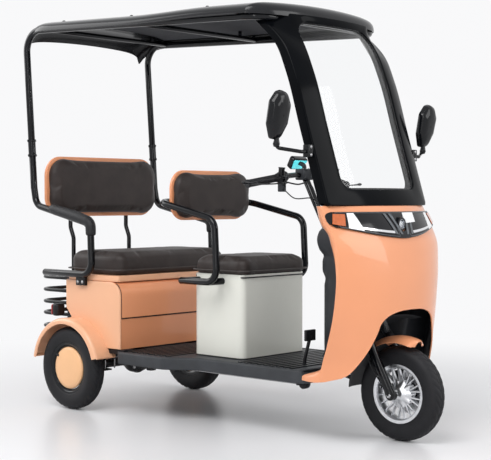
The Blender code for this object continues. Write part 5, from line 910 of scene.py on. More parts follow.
def make_lamp_band():
    """The band on the shield, its rim rounded by sqrt(1 - (1 - t)^2), and patches laid on it."""
    level = np.linspace(0.0, 1.0, 26)[:, None]
    across = np.linspace(-0.90, 0.90, 141)[None, :]
    outer = np.clip(np.minimum(np.minimum(level, 1 - level) / 0.07, (0.90 - np.abs(across)) / 0.012), 0.0, 1.0)
    rise = 0.55 + 0.45 * np.sqrt(1 - (1 - outer) ** 2)
    inner = band_surface(level, across, 0.0)
    points = inner + (band_surface(level, across) - inner) * rise[..., None]
    band = piece("lamp_band", [(shell(points[:, ::-1], 0.0045), BLACK)], "root", ("headlamp_panel",))
    hole = lathe(((0.0, 0.0), (0.0278, 0.0), (0.0278, 0.09), (0.0, 0.09)), (1.46, 0, LAMP_HEIGHT), (1, 0, 0),
        40)
    carve(band, hole)
    shapes = []
    for side in (-1, 1):
        shapes.append((band_patch(side * 0.795, side * 0.620, 0.08, 0.93, 0.0100, (side * -0.05, side * 0.06),
            0.0020), CLEAR))
        shapes.append((band_patch(side * 0.640, side * 0.180, 0.160, 0.255, 0.0102, 0.0, 0.0018, 3, 40),
            CHROME))
        for start in (0.165, 0.078):
            bar = band_patch(side * start, side * (start - 0.036), 0.14, 0.92, 0.0104, side * 0.11, 0.0018,
                14, 3)
            shapes.append((bar, HOUSING))
        rim = band_loop(*sorted((side * 0.885, side * 0.10)), 0.06, 0.95, 0.014, 0.0098)
        shapes.append((pipe(rim[:-2], 0.0011, 6), HOUSING))
    shapes.append((band_patch(0.070, 0.290, 0.56, 0.95, 0.0104, 0.10, 0.0018), CLEAR))
    piece("lamp_details", shapes)
    for label, side in SIDES:
        frame_level = np.linspace(0.0, 1.0, 13)[:, None]
        ends = np.linspace(0.0, 1.0, 14)[None, :]
        round_off = 0.075 * (np.abs(2 * frame_level - 1) ** 4)
        frame_across = side * (0.903 + (0.997 - 0.903 - round_off) * ends)
        back = band_surface(frame_level, frame_across, 0.0074)
        lens_level = np.linspace(0.16, 0.86, 9)[:, None]
        lens_across = side * (np.linspace(0.836, 0.968, 12)[None, :] - 0.065 * lens_level)
        lens = band_surface(lens_level, lens_across, 0.0102)
        if side > 0:
            lens = lens[:, ::-1]
            back = back[:, ::-1]
        shapes = [(shell(back, 0.0045), BLACK), (shell(lens, -0.0024), AMBER)]
        piece("turn_signal_" + label, shapes, "root", ("indicator_" + label,))
    lamp = (
        (0.0190, 0.006), (0.0190, 0.0335), (0.0245, 0.0340), (0.0270, 0.031), (0.0270, 0.0), (0.0190, 0.0),
    )
    bowl = ((0.0, 0.002), (0.0189, 0.002), (0.0189, 0.0325), (0.0178, 0.0325), (0.0150, 0.012), (0.0, 0.010))
    bulb = smooth(((0.0, 0.0350), (0.005, 0.0344), (0.009, 0.0325), (0.0125, 0.0290), (0.0138, 0.0250)), 16)
    bulb = np.concatenate((bulb, ((0.0138, 0.012), (0.0, 0.012))))
    centre = (1.4705, 0.0, LAMP_HEIGHT)
    shapes = [(lathe(lamp, centre, (1, 0, 0), 48, closed=True), BLACK),
        (lathe(bowl, centre, (1, 0, 0), 48), CHROME), (lathe(bulb, centre, (1, 0, 0), 48), LENS)]
    piece("projector", shapes, "root", ("headlamp",))


TUNNEL_SHARES = (
    (0.0, 0.0), (0.13, 0.03), (0.51, 0.03), (0.55, -0.02), (0.60, 0.13), (0.66, 0.13), (0.70, 0.08),
    (0.73, 0.28), (0.82, 0.38), (0.86, 0.20), (0.94, -1.45), (1.0, -1.72),
)


def make_leg_shield():
    """A panel between the two flanks, raised in its middle by a smooth step to the tunnel line."""
    share = np.concatenate((np.linspace(0.0, 0.06, 8), np.linspace(0.075, 1.0, 60)))[:, None]
    across = np.sin(np.linspace(-1, 1, 81) * 0.45 * math.pi)[None, :] / math.sin(0.45 * math.pi)
    height = 0.2723 + (0.898 - 0.272) * share
    flank = 1.446 - 0.188 * follow(REAR_SHARES, shield_share(height)) + 0.012
    foot = 1.252 - 0.012
    flank = foot + (flank - foot) * np.minimum(1.0, share / 0.045)
    y = 0.299 * across
    fade = np.clip((np.abs(y) - 0.060) / 0.105, 0.0, 1.0)
    bump = 1 - fade * fade * (3 - 2 * fade)
    tunnel = np.minimum(1.180 - 0.100 * follow(TUNNEL_SHARES, share), flank)
    x = flank + (tunnel - flank) * bump
    points = np.stack(np.broadcast_arrays(x, y, height), axis=-1)
    panel = piece("leg_panel", [(shell(points, -0.0038), PLASTIC)], "root", ("inner_leg_shield",),
        50)
    hole = pipe((steer(0.345), steer(BAR_RISE)), 0.034, 32, 0.2)
    carve(panel, hole)
    shapes = []
    for side in (-1, 1):
        spots = ((0.225, 0.840), (0.225, 0.560), (0.235, 0.330))
        for y, z in spots:
            x = 1.446 - 0.188 * float(follow(REAR_SHARES, shield_share(z))) + 0.012
            shapes.append((bolt(np.array((x, side * y, z)), (-1, 0, 0), 0.006, 0.003), STEEL))
    collar = ((0.0150, 0.0), (0.030, 0.0), (0.036, 0.004), (0.034, 0.012), (0.022, 0.022), (0.0155, 0.024),
        (0.0150, 0.012))
    shapes.append((lathe(collar, steer(HEAD_START + HEAD_LENGTH - 0.002), STEER_UP, 40, closed=True), RUBBER))
    key = np.array((1.149, -0.030, 0.790))
    barrel = ((0.0, 0.010), (0.007, 0.010), (0.0085, 0.008), (0.0115, 0.007), (0.0120, -0.004), (0.0, -0.004))
    shapes.append((lathe(barrel, key, (-1, -0.2, 0.2), 24), STEEL))
    piece("leg_trim", shapes)


# Windscreen, roof and canopy frame

SCREEN_SHARES = ((0.0, 0.0), (0.15, 0.125), (0.42, 0.35), (0.72, 0.60), (0.88, 0.79), (1.0, 1.0))
SCREEN_LOW, SCREEN_HIGH = 0.9056, 1.6202


def screen_x(y, z, setback=0.0):
    """x = foot - fall f(h) + bow (1 - (y / half)^2)."""
    share = (z - SCREEN_LOW) / (SCREEN_HIGH - SCREEN_LOW)
    return 1.398 - 0.268 * follow(SCREEN_SHARES, share) + 0.052 * (1 - (y / 0.325) ** 2) - setback


def even_loop(loop, count):
    """A closed loop set to equal spacing by arc length."""
    closed = np.concatenate((loop, loop[:1]))
    steps = np.linalg.norm(np.diff(closed, axis=0), axis=1)
    places = np.concatenate(((0.0,), np.cumsum(steps)))
    where = np.linspace(0.0, places[-1], count, endpoint=False)
    return np.stack([np.interp(where, places, closed[:, axis]) for axis in range(closed.shape[1])], axis=-1)


def rays(loop, count, centre):
    """Points of a loop met by evenly turned rays from a centre."""
    dense = even_loop(loop, 4000) - centre
    order = np.argsort(np.mod(np.arctan2(dense[:, 1], dense[:, 0]), 2 * math.pi))
    turned = np.mod(np.arctan2(dense[:, 1], dense[:, 0]), 2 * math.pi)[order]
    dense = dense[order]
    where = np.linspace(0.0, 2 * math.pi, count, endpoint=False)
    reach = np.interp(where, turned, np.linalg.norm(dense, axis=1), period=2 * math.pi)
    return np.stack((np.cos(where), np.sin(where)), axis=-1) * reach[:, None] + centre


def make_windscreen():
    """A section swept from the outer loop to the inner one by u, set on screen_x, and a pane."""
    centre = np.array((0.0, 1.276))
    top = 1.652
    outer = rays(outline(((-0.325, SCREEN_LOW), (0.325, SCREEN_LOW), (0.330, top), (-0.330, top)),
        (0.012, 0.012, 0.030, 0.030), 8), 240, centre)
    inner = outline(((-0.234, 0.970), (0.234, 0.970), (0.236, 1.620), (-0.236, 1.620)),
        (0.045, 0.045, 0.065, 0.065), 12)
    inner = rays(inner, 240, centre)
    thick = 0.044
    turn = np.linspace(0.0, math.pi / 2, 6)
    front_edge = np.column_stack((0.07 * (1 - np.sin(turn)), -0.22 * (1 - np.cos(turn))))[::-1]
    sill = np.column_stack((1 - 0.06 * (1 - np.sin(turn)), -0.20 * (1 - np.cos(turn))))
    section = np.concatenate((front_edge, sill, ((1.0, -0.95), (0.97, -1.0), (0.03, -1.0), (0.0, -0.95))))
    u = section[None, :, 0, None]
    flat = outer[:, None, :] * (1 - u) + inner[:, None, :] * u
    sweep = 0.060 * np.clip((np.abs(flat[..., 0]) - 0.235) / 0.09, 0,
        1) ** 1.5 * np.clip((flat[..., 1] - 1.49) / 0.16, 0, 1) ** 2
    x = screen_x(flat[..., 0], flat[..., 1]) + thick * section[None, :, 1] - sweep
    points = np.concatenate((x[..., None], flat), axis=-1)
    shapes = [(grid(points, wrap_rows=True, wrap_columns=True), SURROUND)]
    seal = np.stack((screen_x(inner[:, 0], inner[:, 1], 0.0115), inner[:, 0], inner[:, 1]), axis=-1)
    toward = centre - inner
    toward /= np.linalg.norm(toward, axis=1, keepdims=True)
    angle = np.linspace(0.0, 2 * math.pi, 8, endpoint=False)
    ring = seal[:, None, :] + 0.0045 * np.cos(angle)[None, :, None] * np.array((1.0, 0, 0))
    ring[..., 1:] += 0.0045 * np.sin(angle)[None, :, None] * toward[:, None, :]
    shapes.append((grid(ring, wrap_rows=True, wrap_columns=True), RUBBER))
    piece("screen_surround", shapes, "root", ("windscreen_frame",))
    reach = np.concatenate(((0.02,), np.linspace(0.1, 1.0, 14)))[:, None, None]
    flat = centre + (inner[None] - centre) * reach * 0.9985
    pane = np.stack((screen_x(flat[..., 0], flat[..., 1], 0.0085), flat[..., 0], flat[..., 1]), axis=-1)
    front = pane.reshape(-1, 3)
    back = front - np.array((0.0048, 0.0, 0.0))
    count, loop = pane.shape[0] * pane.shape[1], pane.shape[1]
    faces = quads(pane.shape[0], loop, wrap_columns=True)
    rim = np.arange(count - loop, count)
    after = np.roll(rim, -1)
    sides = np.stack((rim, after, after + count, rim + count), axis=-1)
    faces = faces.tolist() + (faces[:, ::-1] + count).tolist() + sides.tolist()
    faces += [list(range(loop)), [index + count for index in range(loop)][::-1]]
    piece("screen_pane", [((np.concatenate((front, back)), faces), GLASS)], "root", ("windscreen_glass",))


def roof_surface(along, across, drop=0.0, margin=0.0):
    """Crest line falling forward, with superelliptic sides and nose and a low crown."""
    rear = -0.362 + margin
    front = 1.165 - margin - 0.045 * across * across - 0.064 * np.abs(across) ** 7
    x = rear + (front - rear) * along
    edge = np.maximum(1 - np.abs(across) ** 9, 0.0) ** 0.34
    nose = np.maximum(1 - np.maximum(0.0, (along - 0.93) / 0.07) ** 4, 0.0) ** 0.4
    crest = 1.742 - 0.0456 * (x + 0.362)
    tail = np.maximum(0.0, 1 - (x + 0.362) / 0.170)
    forward = np.clip((x - 0.350) / 0.500, 0.0, 1.0)
    crest = crest - 0.078 * tail**2.6 + 0.014 * forward * forward * (3 - 2 * forward)
    lift = 0.046 * np.minimum(edge, nose) + 0.016 * (1 - across * across) * nose
    narrow = 1 - 0.125 * np.clip((-0.170 - x) / 0.180, 0.0, 1.0) ** 1.6
    y = (0.408 - margin) * across * narrow
    return np.stack(np.broadcast_arrays(x, y, crest - 0.046 + lift - drop), axis=-1)


def make_roof():
    """The roof surface with a wall, rims and bolts, and the lining under it."""
    s = np.linspace(0.0, 1.0, 46)
    across = np.sin(s * math.pi / 2) ** 0.9
    across = np.concatenate((-across[:0:-1], across))[None, :]
    nose = 1 - 0.07 * (1 - np.sin(np.linspace(0.0, 1.0, 30) * math.pi / 2))
    along = np.concatenate((np.linspace(0.0, 0.12, 18), np.linspace(0.14, 0.92, 40), nose))[:, None]
    points = roof_surface(along, across)
    shapes = [(shell(points, 0.0048), ROOF)]
    side_line = roof_surface(np.linspace(0.0, 0.97, 60), np.full(60, 1.0))
    for line in (side_line, side_line * np.array((1.0, -1.0, 1.0))):
        shapes.append((pipe(line, 0.0035, 8), RUBBER))
    rear_line = roof_surface(np.zeros(60), np.linspace(-1, 1, 60))
    shapes.append((pipe(rear_line, 0.0035, 8), RUBBER))
    for x in (-0.120, 0.335, 0.790):
        for side in (-1, 1):
            along = np.array((x + 0.362) / 1.5)
            spot = roof_surface(along, np.array(side * 0.80))
            shapes.append((bolt(spot - np.array((0, 0, 0.0006)), (0.05, side * 0.10, 1.0), 0.0075, 0.005),
                BLACK))
    piece("roof_skin", shapes, "root", ("roof_panel",))
    across = np.linspace(-0.90, 0.90, 61)[None, :]
    along = np.linspace(0.12, 0.90, 61)[:, None]
    lining = roof_surface(along, across, 0.012, 0.040)
    shapes = [(shell(lining, 0.003), LINING)]
    rim = np.concatenate((lining[0], lining[1:, -1], lining[-1, ::-1][1:], lining[::-1, 0][1:]))
    shapes.append((pipe(rim, 0.003, 8), LINING))
    piece("headliner", shapes, "root", ("roof_lining",))


POLE_JOIN = np.array((-0.275 - 0.056 * (1.205 - 0.985) / (1.704 - 0.985), POLE_GAUGE, 1.205))


def canopy_z(x):
    """Height of the canopy tube, falling in a straight line from the rear to the front."""
    return 1.704 - 0.068 * (x + 0.331) / (1.105 + 0.331)


def make_canopy():
    """One pipe round the roof with two bearers and their stands."""
    half = [POLE_JOIN, np.array((-0.331, POLE_GAUGE, 1.704)), np.array((1.105, POLE_GAUGE, 1.636))]
    flip = np.array((1.0, -1.0, 1.0))
    path = half + [point * flip for point in half[::-1]]
    shapes = [(pipe(fillet(path, 0.090, 12), 0.0155, 20), BLACK)]
    for x in (-0.180, 0.420):
        z = canopy_z(x)
        shapes.append((pipe(((x, -POLE_GAUGE, z), (x, POLE_GAUGE, z)), 0.011, 16), BLACK))
        for side in (-1, 1):
            for y, top in ((0.260, 0.020), (0.353, 0.012)):
                low = np.array((x - 0.006, side * y - 0.006, z))
                shapes.append((rounded_block(low, low + np.array((0.012, 0.012, top + 0.012)), 0.002), BLACK))
    piece("canopy_tubes", shapes, "root", ("canopy_frame",))


def make_posts():
    """A pipe through the filleted post line on each side, with sleeve, foot and arm pad."""
    for label, side in SIDES:
        corners = [
            POLE_JOIN * np.array((1, side, 1)), (-0.275, side * POLE_GAUGE, 0.985), (-0.258,
                side * POLE_GAUGE, 0.904),
            (0.118, side * POLE_GAUGE, 0.822), (0.126, side * POLE_GAUGE, 0.600), (-0.197, side * POLE_GAUGE,
                0.600),
        ]
        corners = [np.asarray(corner) for corner in corners]
        shapes = [(pipe(fillet(corners, 0.055, 12), 0.0155, 20), BLACK)]
        run = corners[1] - corners[0]
        run /= np.linalg.norm(run)
        sleeve = ((0.0155, 0.0), (0.0196, 0.0010), (0.0200, 0.004), (0.0196, 0.0110), (0.0172, 0.0130),
            (0.0172, 0.0670), (0.0196, 0.0690), (0.0200, 0.076), (0.0190, 0.0792), (0.0155, 0.080))
        shapes.append((lathe(sleeve, corners[0], run, 32), BLACK))
        for place in (0.006, 0.073):
            spot = corners[0] + run * place
            for way in ((0, 1, 0), (0, -1, 0), (-1, 0, 0), (1, 0, 0)):
                shapes.append((bolt(spot + np.array(way) * 0.0192, way, 0.0048, 0.0060), BLACK))
        foot = rounded_block((0.015, 0.3605, 0.550), (0.075, 0.3795, 0.605), 0.004, 0.003)
        foot = foot if side > 0 else mirrored(foot)
        shapes.append((foot, BLACK))
        for x in (0.030, 0.060):
            shapes.append((bolt(np.array((x, side * 0.3792, 0.566)), (0, side, 0), 0.0055, 0.0045), STEEL))
        piece("rear_arm_" + label, shapes, "root", ("rear_post_" + label,))
        rear = corners[2]
        run = corners[3] - rear
        lift = np.array((0.0, 0.0, 0.009))
        bend = fillet((rear + run * 0.30 + lift, corners[3] + lift, corners[3] + (0.002, 0.0, -0.042)), 0.050,
            12)
        rows = np.linspace(0.0, 1.0, 60)
        line = smooth(bend, 60)
        girth = 0.0225 + 0.0018 * np.sin(math.pi * rows) - 0.0030 * np.clip(1 - rows / 0.08, 0, 1) ** 2
        pads = [(pipe(line, girth, 24, 0.55), RUBBER)]
        piece("arm_pad_" + label, pads, "root", ("armrest_pad_" + label,))


# Rear box, rack, fenders and axle

def box_loop(margin, top, front_cut=0.0):
    """The box's side view, with a rounded front shoulder and a stepped rear."""
    rear, front = -0.075 + margin, 0.285 - margin - front_cut
    shoulder = 0.062 - margin
    turn = np.linspace(0.0, math.pi / 2, 12)
    arc = np.column_stack((front - shoulder * (1 - np.cos(turn)), top - shoulder * (1 - np.sin(turn))))
    low = ((-0.041 + margin, 0.282 + margin), (front, 0.282 + margin))
    tail = ((rear, top), (rear, 0.445), (-0.041 + margin, 0.407))
    return np.concatenate((low, arc, tail))


def paint_lit_cheeks(box):
    """The box's two outer sides take the paler lit copy of the peach paint: painted light for the strong light
    on the sides.
    """
    if len(box.data.materials) < 2:
        box.data.materials.append(LIT_PEACH)
    middle = np.empty(len(box.data.polygons) * 3)
    box.data.polygons.foreach_get("center", middle)
    box.data.polygons.foreach_set("material_index", (np.abs(middle[1::3]) > 0.3530).astype(np.int32))


def make_rear_box():
    """The side view drawn out, hollowed, with thicker cheeks, a drop door and the bench pan."""
    shapes = [(slab(box_loop(0.0, 0.572, 0.005), -0.352, 0.352, "side", 0.002), PEACH)]
    for side in (-1, 1):
        ends = sorted((side * 0.3475, side * 0.3605))
        # The cheeks take the paler lit peach: painted light on the side faces.
        shapes.append((slab(box_loop(0.0, 0.572), ends[0], ends[1], "side", 0.0062, 6), LIT_PEACH))
    box = piece("rear_box_shell", shapes, "root", ("rear_box",))
    hollow = slab(box_loop(0.006, 0.566, 0.005), -0.342, 0.342, "side", 0.0)
    mouth = rounded_block((-0.030, -0.315, 0.552), (0.218, 0.315, 0.592), 0.012, 0.0)
    doorway = rounded_block((0.215, -0.325, 0.412), (0.310, 0.325, 0.500), 0.006, 0.0)
    wells = []
    for side in (-1, 1):
        wells.append(lathe(((0.0, 0.0), (0.2205, 0.0), (0.2205, 0.07), (0.0, 0.07)),
            (0.0, side * 0.312, TYRE_RADIUS), (0, side, 0), 96))
    carve(box, hollow, mouth, doorway, *wells, overlap=True)
    paint_lit_cheeks(box)
    seams = []
    turn = np.linspace(0.0, math.radians(60), 14)
    rise = np.column_stack((np.cos(turn), np.sin(turn)))
    middle = np.array((0.218, 0.510))
    skin = np.concatenate((((0.2808, 0.4185), (0.2845, 0.4185)), middle + 0.0665 * rise,
        (middle + 0.0628 * rise)[::-1]))
    core = rounded_block((0.2770, -0.3195, 0.4200), (0.2815, 0.3195, 0.4940), 0.001)
    hinge = pipe(((0.2795, -0.322, 0.4205), (0.2795, 0.322, 0.4205)), 0.0036, 14)
    shapes = [(slab(skin, -0.3447, 0.3447, "side", 0.0014, 3), PEACH), (core, PEACH), (hinge, FRAME)]
    piece("drop_door", shapes, "box_door", ("box_door",))
    seam = middle + 0.0628 * rise
    for side in (-1, 1):
        line = np.concatenate((((0.2812, 0.414),), seam))
        cord = np.column_stack((line[:, 0], np.full(len(line), side * 0.3464), line[:, 1]))
        seams.append((pipe(smooth(cord, 30), 0.0017, 8), RUBBER))
    seams.append((pipe(((0.2805, -0.3455, 0.4150), (0.2805, 0.3455, 0.4150)), 0.0022, 8), RUBBER))
    piece("door_seals", seams)
    pan = rounded_block((-0.074, -0.3540, 0.5722), (0.262, 0.3540, 0.5990), 0.022, 0.004)
    # The bench pan takes the paler lit peach as well: painted light.
    piece("bench_pan", [(pan, LIT_PEACH)], "rear_seat", ("rear_seat_pan",))


def make_guards():
    """A section (y, r) turned about the rear axle from 16 to 170 degrees, with a wall inside."""
    centre = np.array((0.0, 0.0, TYRE_RADIUS))
    angle = np.linspace(*GUARD_ARC, 90)[:, None]
    turn = np.linspace(0.0, math.pi / 2, 9)
    y = np.concatenate(((0.3135, 0.3135), 0.3235 - 0.010 * np.cos(turn), np.linspace(0.33, 0.418, 8),
        0.421 + 0.0155 * np.sin(turn), (0.4365, 0.4362)))
    r = np.concatenate(((0.150, 0.200), 0.209 + 0.010 * np.sin(turn), np.linspace(0.2194, 0.2198, 8),
        0.2045 + 0.0155 * np.cos(turn), (0.2005, 0.1985)))
    across = y[None, :] + 0 * angle
    rim = 0.0006 * np.exp(-((angle - angle[0]) / 0.02) ** 2)
    reach = r[None, :] + rim
    points = np.stack((centre[0] + reach * np.cos(angle), across, centre[2] + reach * np.sin(angle)), axis=-1)
    curl = [centre + np.array((0.2185 * math.cos(angle[end, 0]), 0,
        0.2185 * math.sin(angle[end, 0]))) for end in (0, -1)]
    lips = [pipe(np.stack((np.full(20, spot[0]), np.linspace(0.322, 0.428, 20), np.full(20, spot[2])),
        axis=-1), 0.0042, 12) for spot in curl]
    edge = points[:, -1]
    hem = pipe(edge[1:-1], 0.0026, 8)
    chord = np.linspace(*GUARD_ARC, 60)
    plate = np.column_stack((0.2175 * np.cos(chord), TYRE_RADIUS + 0.2175 * np.sin(chord)))
    wall = slab(plate, 0.3122, 0.3158, "side", 0.0005, 1)
    stay = pipe(((0.02, 0.318, 0.375), (0.02, 0.318, 0.330)), 0.006, 12)
    for label, side in SIDES:
        # The guards take the paler lit peach: painted highlight on the fenders.
        shapes = [(shell(points, 0.0034), LIT_PEACH), (wall, LIT_PEACH), (hem, LIT_PEACH), (lips[0], LIT_PEACH), (lips[1], LIT_PEACH),
            (stay, FRAME)]
        if side < 0:
            shapes = [(mirrored(shape), material) for shape, material in shapes]
        piece("wheel_guard_" + label, shapes, "root", ("rear_fender_" + label,))


def make_rack():
    """Stays, backrest tubes and five filleted bars, with lamps, plate and reflector left blank."""
    shapes = []
    for side in (-1, 1):
        y = side * 0.292
        shapes.append((rounded_block((-0.141, y - 0.007, 0.329), (-0.115, y + 0.007, 0.577), 0.003), BLACK))
        shapes.append((pipe(((-0.128, y, 0.5085), (-0.0755, y, 0.5085)), 0.0098, 14), BLACK))
        across = side * 0.175
        stay = ((-0.0753, across, 0.541), (-0.242, across, 0.541), (-0.242, across, 0.750),
            (-0.2643, across, 0.800), (-0.2643, across, 1.080))
        shapes.append((pipe(fillet([np.array(point) for point in stay], 0.045, 10), 0.010, 18), BLACK))
        lamp = side * 0.360
        shapes.append((rounded_block((-0.147, lamp - 0.026, 0.404), (-0.108, lamp + 0.026, 0.460), 0.014,
            0.010), FRAME))
        shapes.append((slab(outline(((lamp - 0.024, 0.408), (lamp + 0.024, 0.408), (lamp + 0.024, 0.456),
            (lamp - 0.024, 0.456)), 0.008), -0.1515, -0.146, "front", 0.002), RED))
        shapes.append((pipe(((-0.128, y, 0.432), (-0.128, lamp - side * 0.02, 0.432)), 0.007, 14), BLACK))
        for z in (0.352, 0.555):
            shapes.append((bolt(np.array((-0.128, y + side * 0.0068, z)), (0, side, 0), 0.0045, 0.003), STEEL))
        foot = slab(outline(((y - 0.022, 0.486), (y + 0.022, 0.486), (y + 0.022, 0.531), (y - 0.022, 0.531)),
            0.008), -0.0785, -0.0752, "front", 0.001)
        shapes.append((foot, BLACK))
    for z in (0.342, 0.403, 0.456, 0.511, 0.570):
        path = [np.array(point) for point in ((-0.128, -0.292, z), (-0.353, -0.292, z), (-0.353, 0.292, z),
            (-0.128, 0.292, z))]
        shapes.append((pipe(fillet(path, 0.070, 12), 0.0084, 16), BLACK))
    shapes.append((pipe(((-0.128, -0.292, 0.541), (-0.128, 0.292, 0.541)), 0.007, 14), BLACK))
    plate = slab(outline(((-0.06, 0.352), (0.06, 0.352), (0.06, 0.395), (-0.06, 0.395)), 0.006), -0.3615,
        -0.3590, "front", 0.0008)
    reflector = slab(outline(((-0.035, 0.411), (0.035, 0.411), (0.035, 0.433), (-0.035, 0.433)), 0.004),
        -0.3620, -0.3570, "front", 0.002)
    shapes.append((plate, BLACK))
    shapes.append((reflector, RED))
    shapes.append((pipe(((-0.3575, 0.0, 0.350), (-0.3575, 0.0, 0.440)), 0.004, 10), BLACK))
    piece("luggage_rack", shapes, "root", ("rear_rack",))


def make_axle():
    """Axle tube, differential and motor turned about Y, and leaves z = b + s (x / 0.172)^2."""
    z = TYRE_RADIUS
    shapes = [(pipe(((0, -0.316, z), (0, 0.316, z)), 0.0218, 28, 0.1), FRAME)]
    shapes.append((pipe(((0, -0.396, z), (0, 0.396, z)), 0.0098, 16, 0.1), STEEL))
    diff = smooth(((0.024, -0.060), (0.034, -0.054), (0.052, -0.040), (0.058, -0.022), (0.058, 0.022),
        (0.052, 0.040), (0.034, 0.054), (0.024, 0.060)), 36)
    shapes.append((lathe(diff, (0, 0, z), (0, 1, 0), 48), FRAME))
    flange = ((0.048, -0.004), (0.0635, -0.004), (0.0635, 0.004), (0.048, 0.004))
    shapes.append((lathe(flange, (0, 0, z), (0, 1, 0), 48, closed=True), FRAME))
    for index in range(10):
        turn = 2 * math.pi * index / 10
        spot = np.array((0.0590 * math.cos(turn), 0.0042, z + 0.0590 * math.sin(turn)))
        shapes.append((bolt(spot, (0, 1, 0), 0.0032, 0.003, 8), STEEL))
    along = np.linspace(0.004, 0.166, 160)
    ribs = 0.0022 * (np.cos(along * 2 * math.pi / 0.012) > 0) * ((along > 0.03) & (along < 0.13))
    motor = np.column_stack((0.0535 + ribs, along))
    motor = np.concatenate((((0.0, 0.0), (0.050, 0.0)), motor, ((0.050, 0.170), (0.0, 0.170))))
    shapes.append((lathe(motor, (-0.092, 0.015, z + 0.006), (0, 1, 0), 56), FRAME))
    wire = smooth(((-0.120, 0.150, z + 0.040), (-0.100, 0.150, 0.245), (-0.030, 0.130, 0.262),
        (0.060, 0.110, 0.262), (0.190, 0.090, 0.255)), 40)
    shapes.append((pipe(wire, 0.005, 12), RUBBER))
    eye = 0.2657
    base = z + 0.0176
    sag = eye - base - 0.0108 - 0.003
    for side in (-1, 1):
        for leaf in range(3):
            span = 0.172 * (1 - 0.27 * leaf)
            low = base + 0.0054 * (2 - leaf)
            x = np.linspace(-span, span, 30)
            arc = np.column_stack((x, low + sag * (x / 0.172) ** 2))
            loop = np.concatenate((arc, (arc + np.array((0.0, 0.0055)))[::-1]))
            wide = 0.020 - 0.0015 * leaf
            shapes.append((slab(loop, side * 0.210 - wide, side * 0.210 + wide, "side", 0.0008, 1), FRAME))
        for end in (-1, 1):
            roll = ((0.0, -0.021), (0.012, -0.021), (0.012, 0.021), (0.0, 0.021))
            shapes.append((lathe(roll, (end * 0.172, side * 0.209, eye), (0, 1, 0), 24), FRAME))
            shapes.append((bolt(np.array((end * 0.172, side * 0.2302, eye)), (0, side, 0), 0.006, 0.005),
                STEEL))
            hoop = [np.array((end * 0.028, side * 0.2 + y, h)) for y,
                h in ((-0.018, 0.162), (-0.018, 0.222), (0.038, 0.222), (0.038, 0.162))]
            shapes.append((pipe(fillet(hoop, 0.010, 6), 0.0038, 12), STEEL))
        clamp = rounded_block((-0.036, side * 0.210 - 0.027, 0.154), (0.036, side * 0.210 + 0.027, 0.1605),
            0.004, 0.001)
        shapes.append((clamp, FRAME))
    piece("drive_axle", shapes, "root", ("rear_axle",))


# Driver's place

def make_driver_box():
    """A rounded box drawn up and hollowed, the block in it, and the seat pan."""
    def loop(margin):
        rear, front, half = 0.569 + margin, 0.862 - margin, 0.205 - margin
        return outline(((rear, -half), (front, -half), (front, half), (rear, half)), 0.034 - margin, 12)
    shapes = [(slab(loop(0.0), 0.2725, 0.5760, "plan", 0.0035, 4), CREAM)]
    shapes.append((slab(loop(-0.0010), 0.2722, 0.2750, "plan", 0.001, 3), RUBBER))
    box = piece("battery_box_shell", shapes, "root", ("driver_box",))
    carve(box, slab(loop(0.005), 0.2775, 0.62, "plan", 0.0))
    case = rounded_block((0.6155, -0.170, 0.2785), (0.8155, 0.170, 0.4570), 0.008, 0.003)
    shapes = [(case, BATTERY)]
    for y in (-0.110, 0.0, 0.110):
        shapes.append((rounded_block((0.614, y - 0.012, 0.279), (0.817, y + 0.012, 0.4590), 0.006, 0.002),
            RUBBER))
    piece("battery_block", shapes, "root", ("battery_pack",))
    pan = rounded_block((0.578, -0.197, 0.6064), (0.860, 0.197, 0.6117), 0.012, 0.001)
    piece("seat_pan", [(pan, FRAME)], "driver_seat", ("driver_seat_pan",))


def make_driver_arms():
    """One filleted pipe round the seat on two cross tubes, with the backrest lugs."""
    half = [(0.583, 0.284, 0.5915), (0.790, 0.284, 0.5915), (0.776, 0.284, 0.848), (0.449, 0.284, 0.920)]
    path = [np.array(point) for point in half]
    path += [point * np.array((1.0, -1.0, 1.0)) for point in path[::-1]]
    shapes = [(pipe(fillet(path, 0.055, 12), 0.0145, 20), BLACK)]
    for x in (0.605, 0.742):
        shapes.append((pipe(((x, -0.284, 0.5915), (x, 0.284, 0.5915)), 0.0142, 18), BLACK))
    for side in (-1, 1):
        y = side * 0.120
        shapes.append((rounded_block((0.449, y - 0.014, 0.9125), (0.4655, y + 0.014, 0.9275), 0.003), BLACK))
        shapes.append((bolt(np.array((0.434, y, 0.920)), (-1, 0, 0), 0.006, 0.005), STEEL))
    piece("driver_arm_tubes", shapes, "root", ("driver_armrests",))


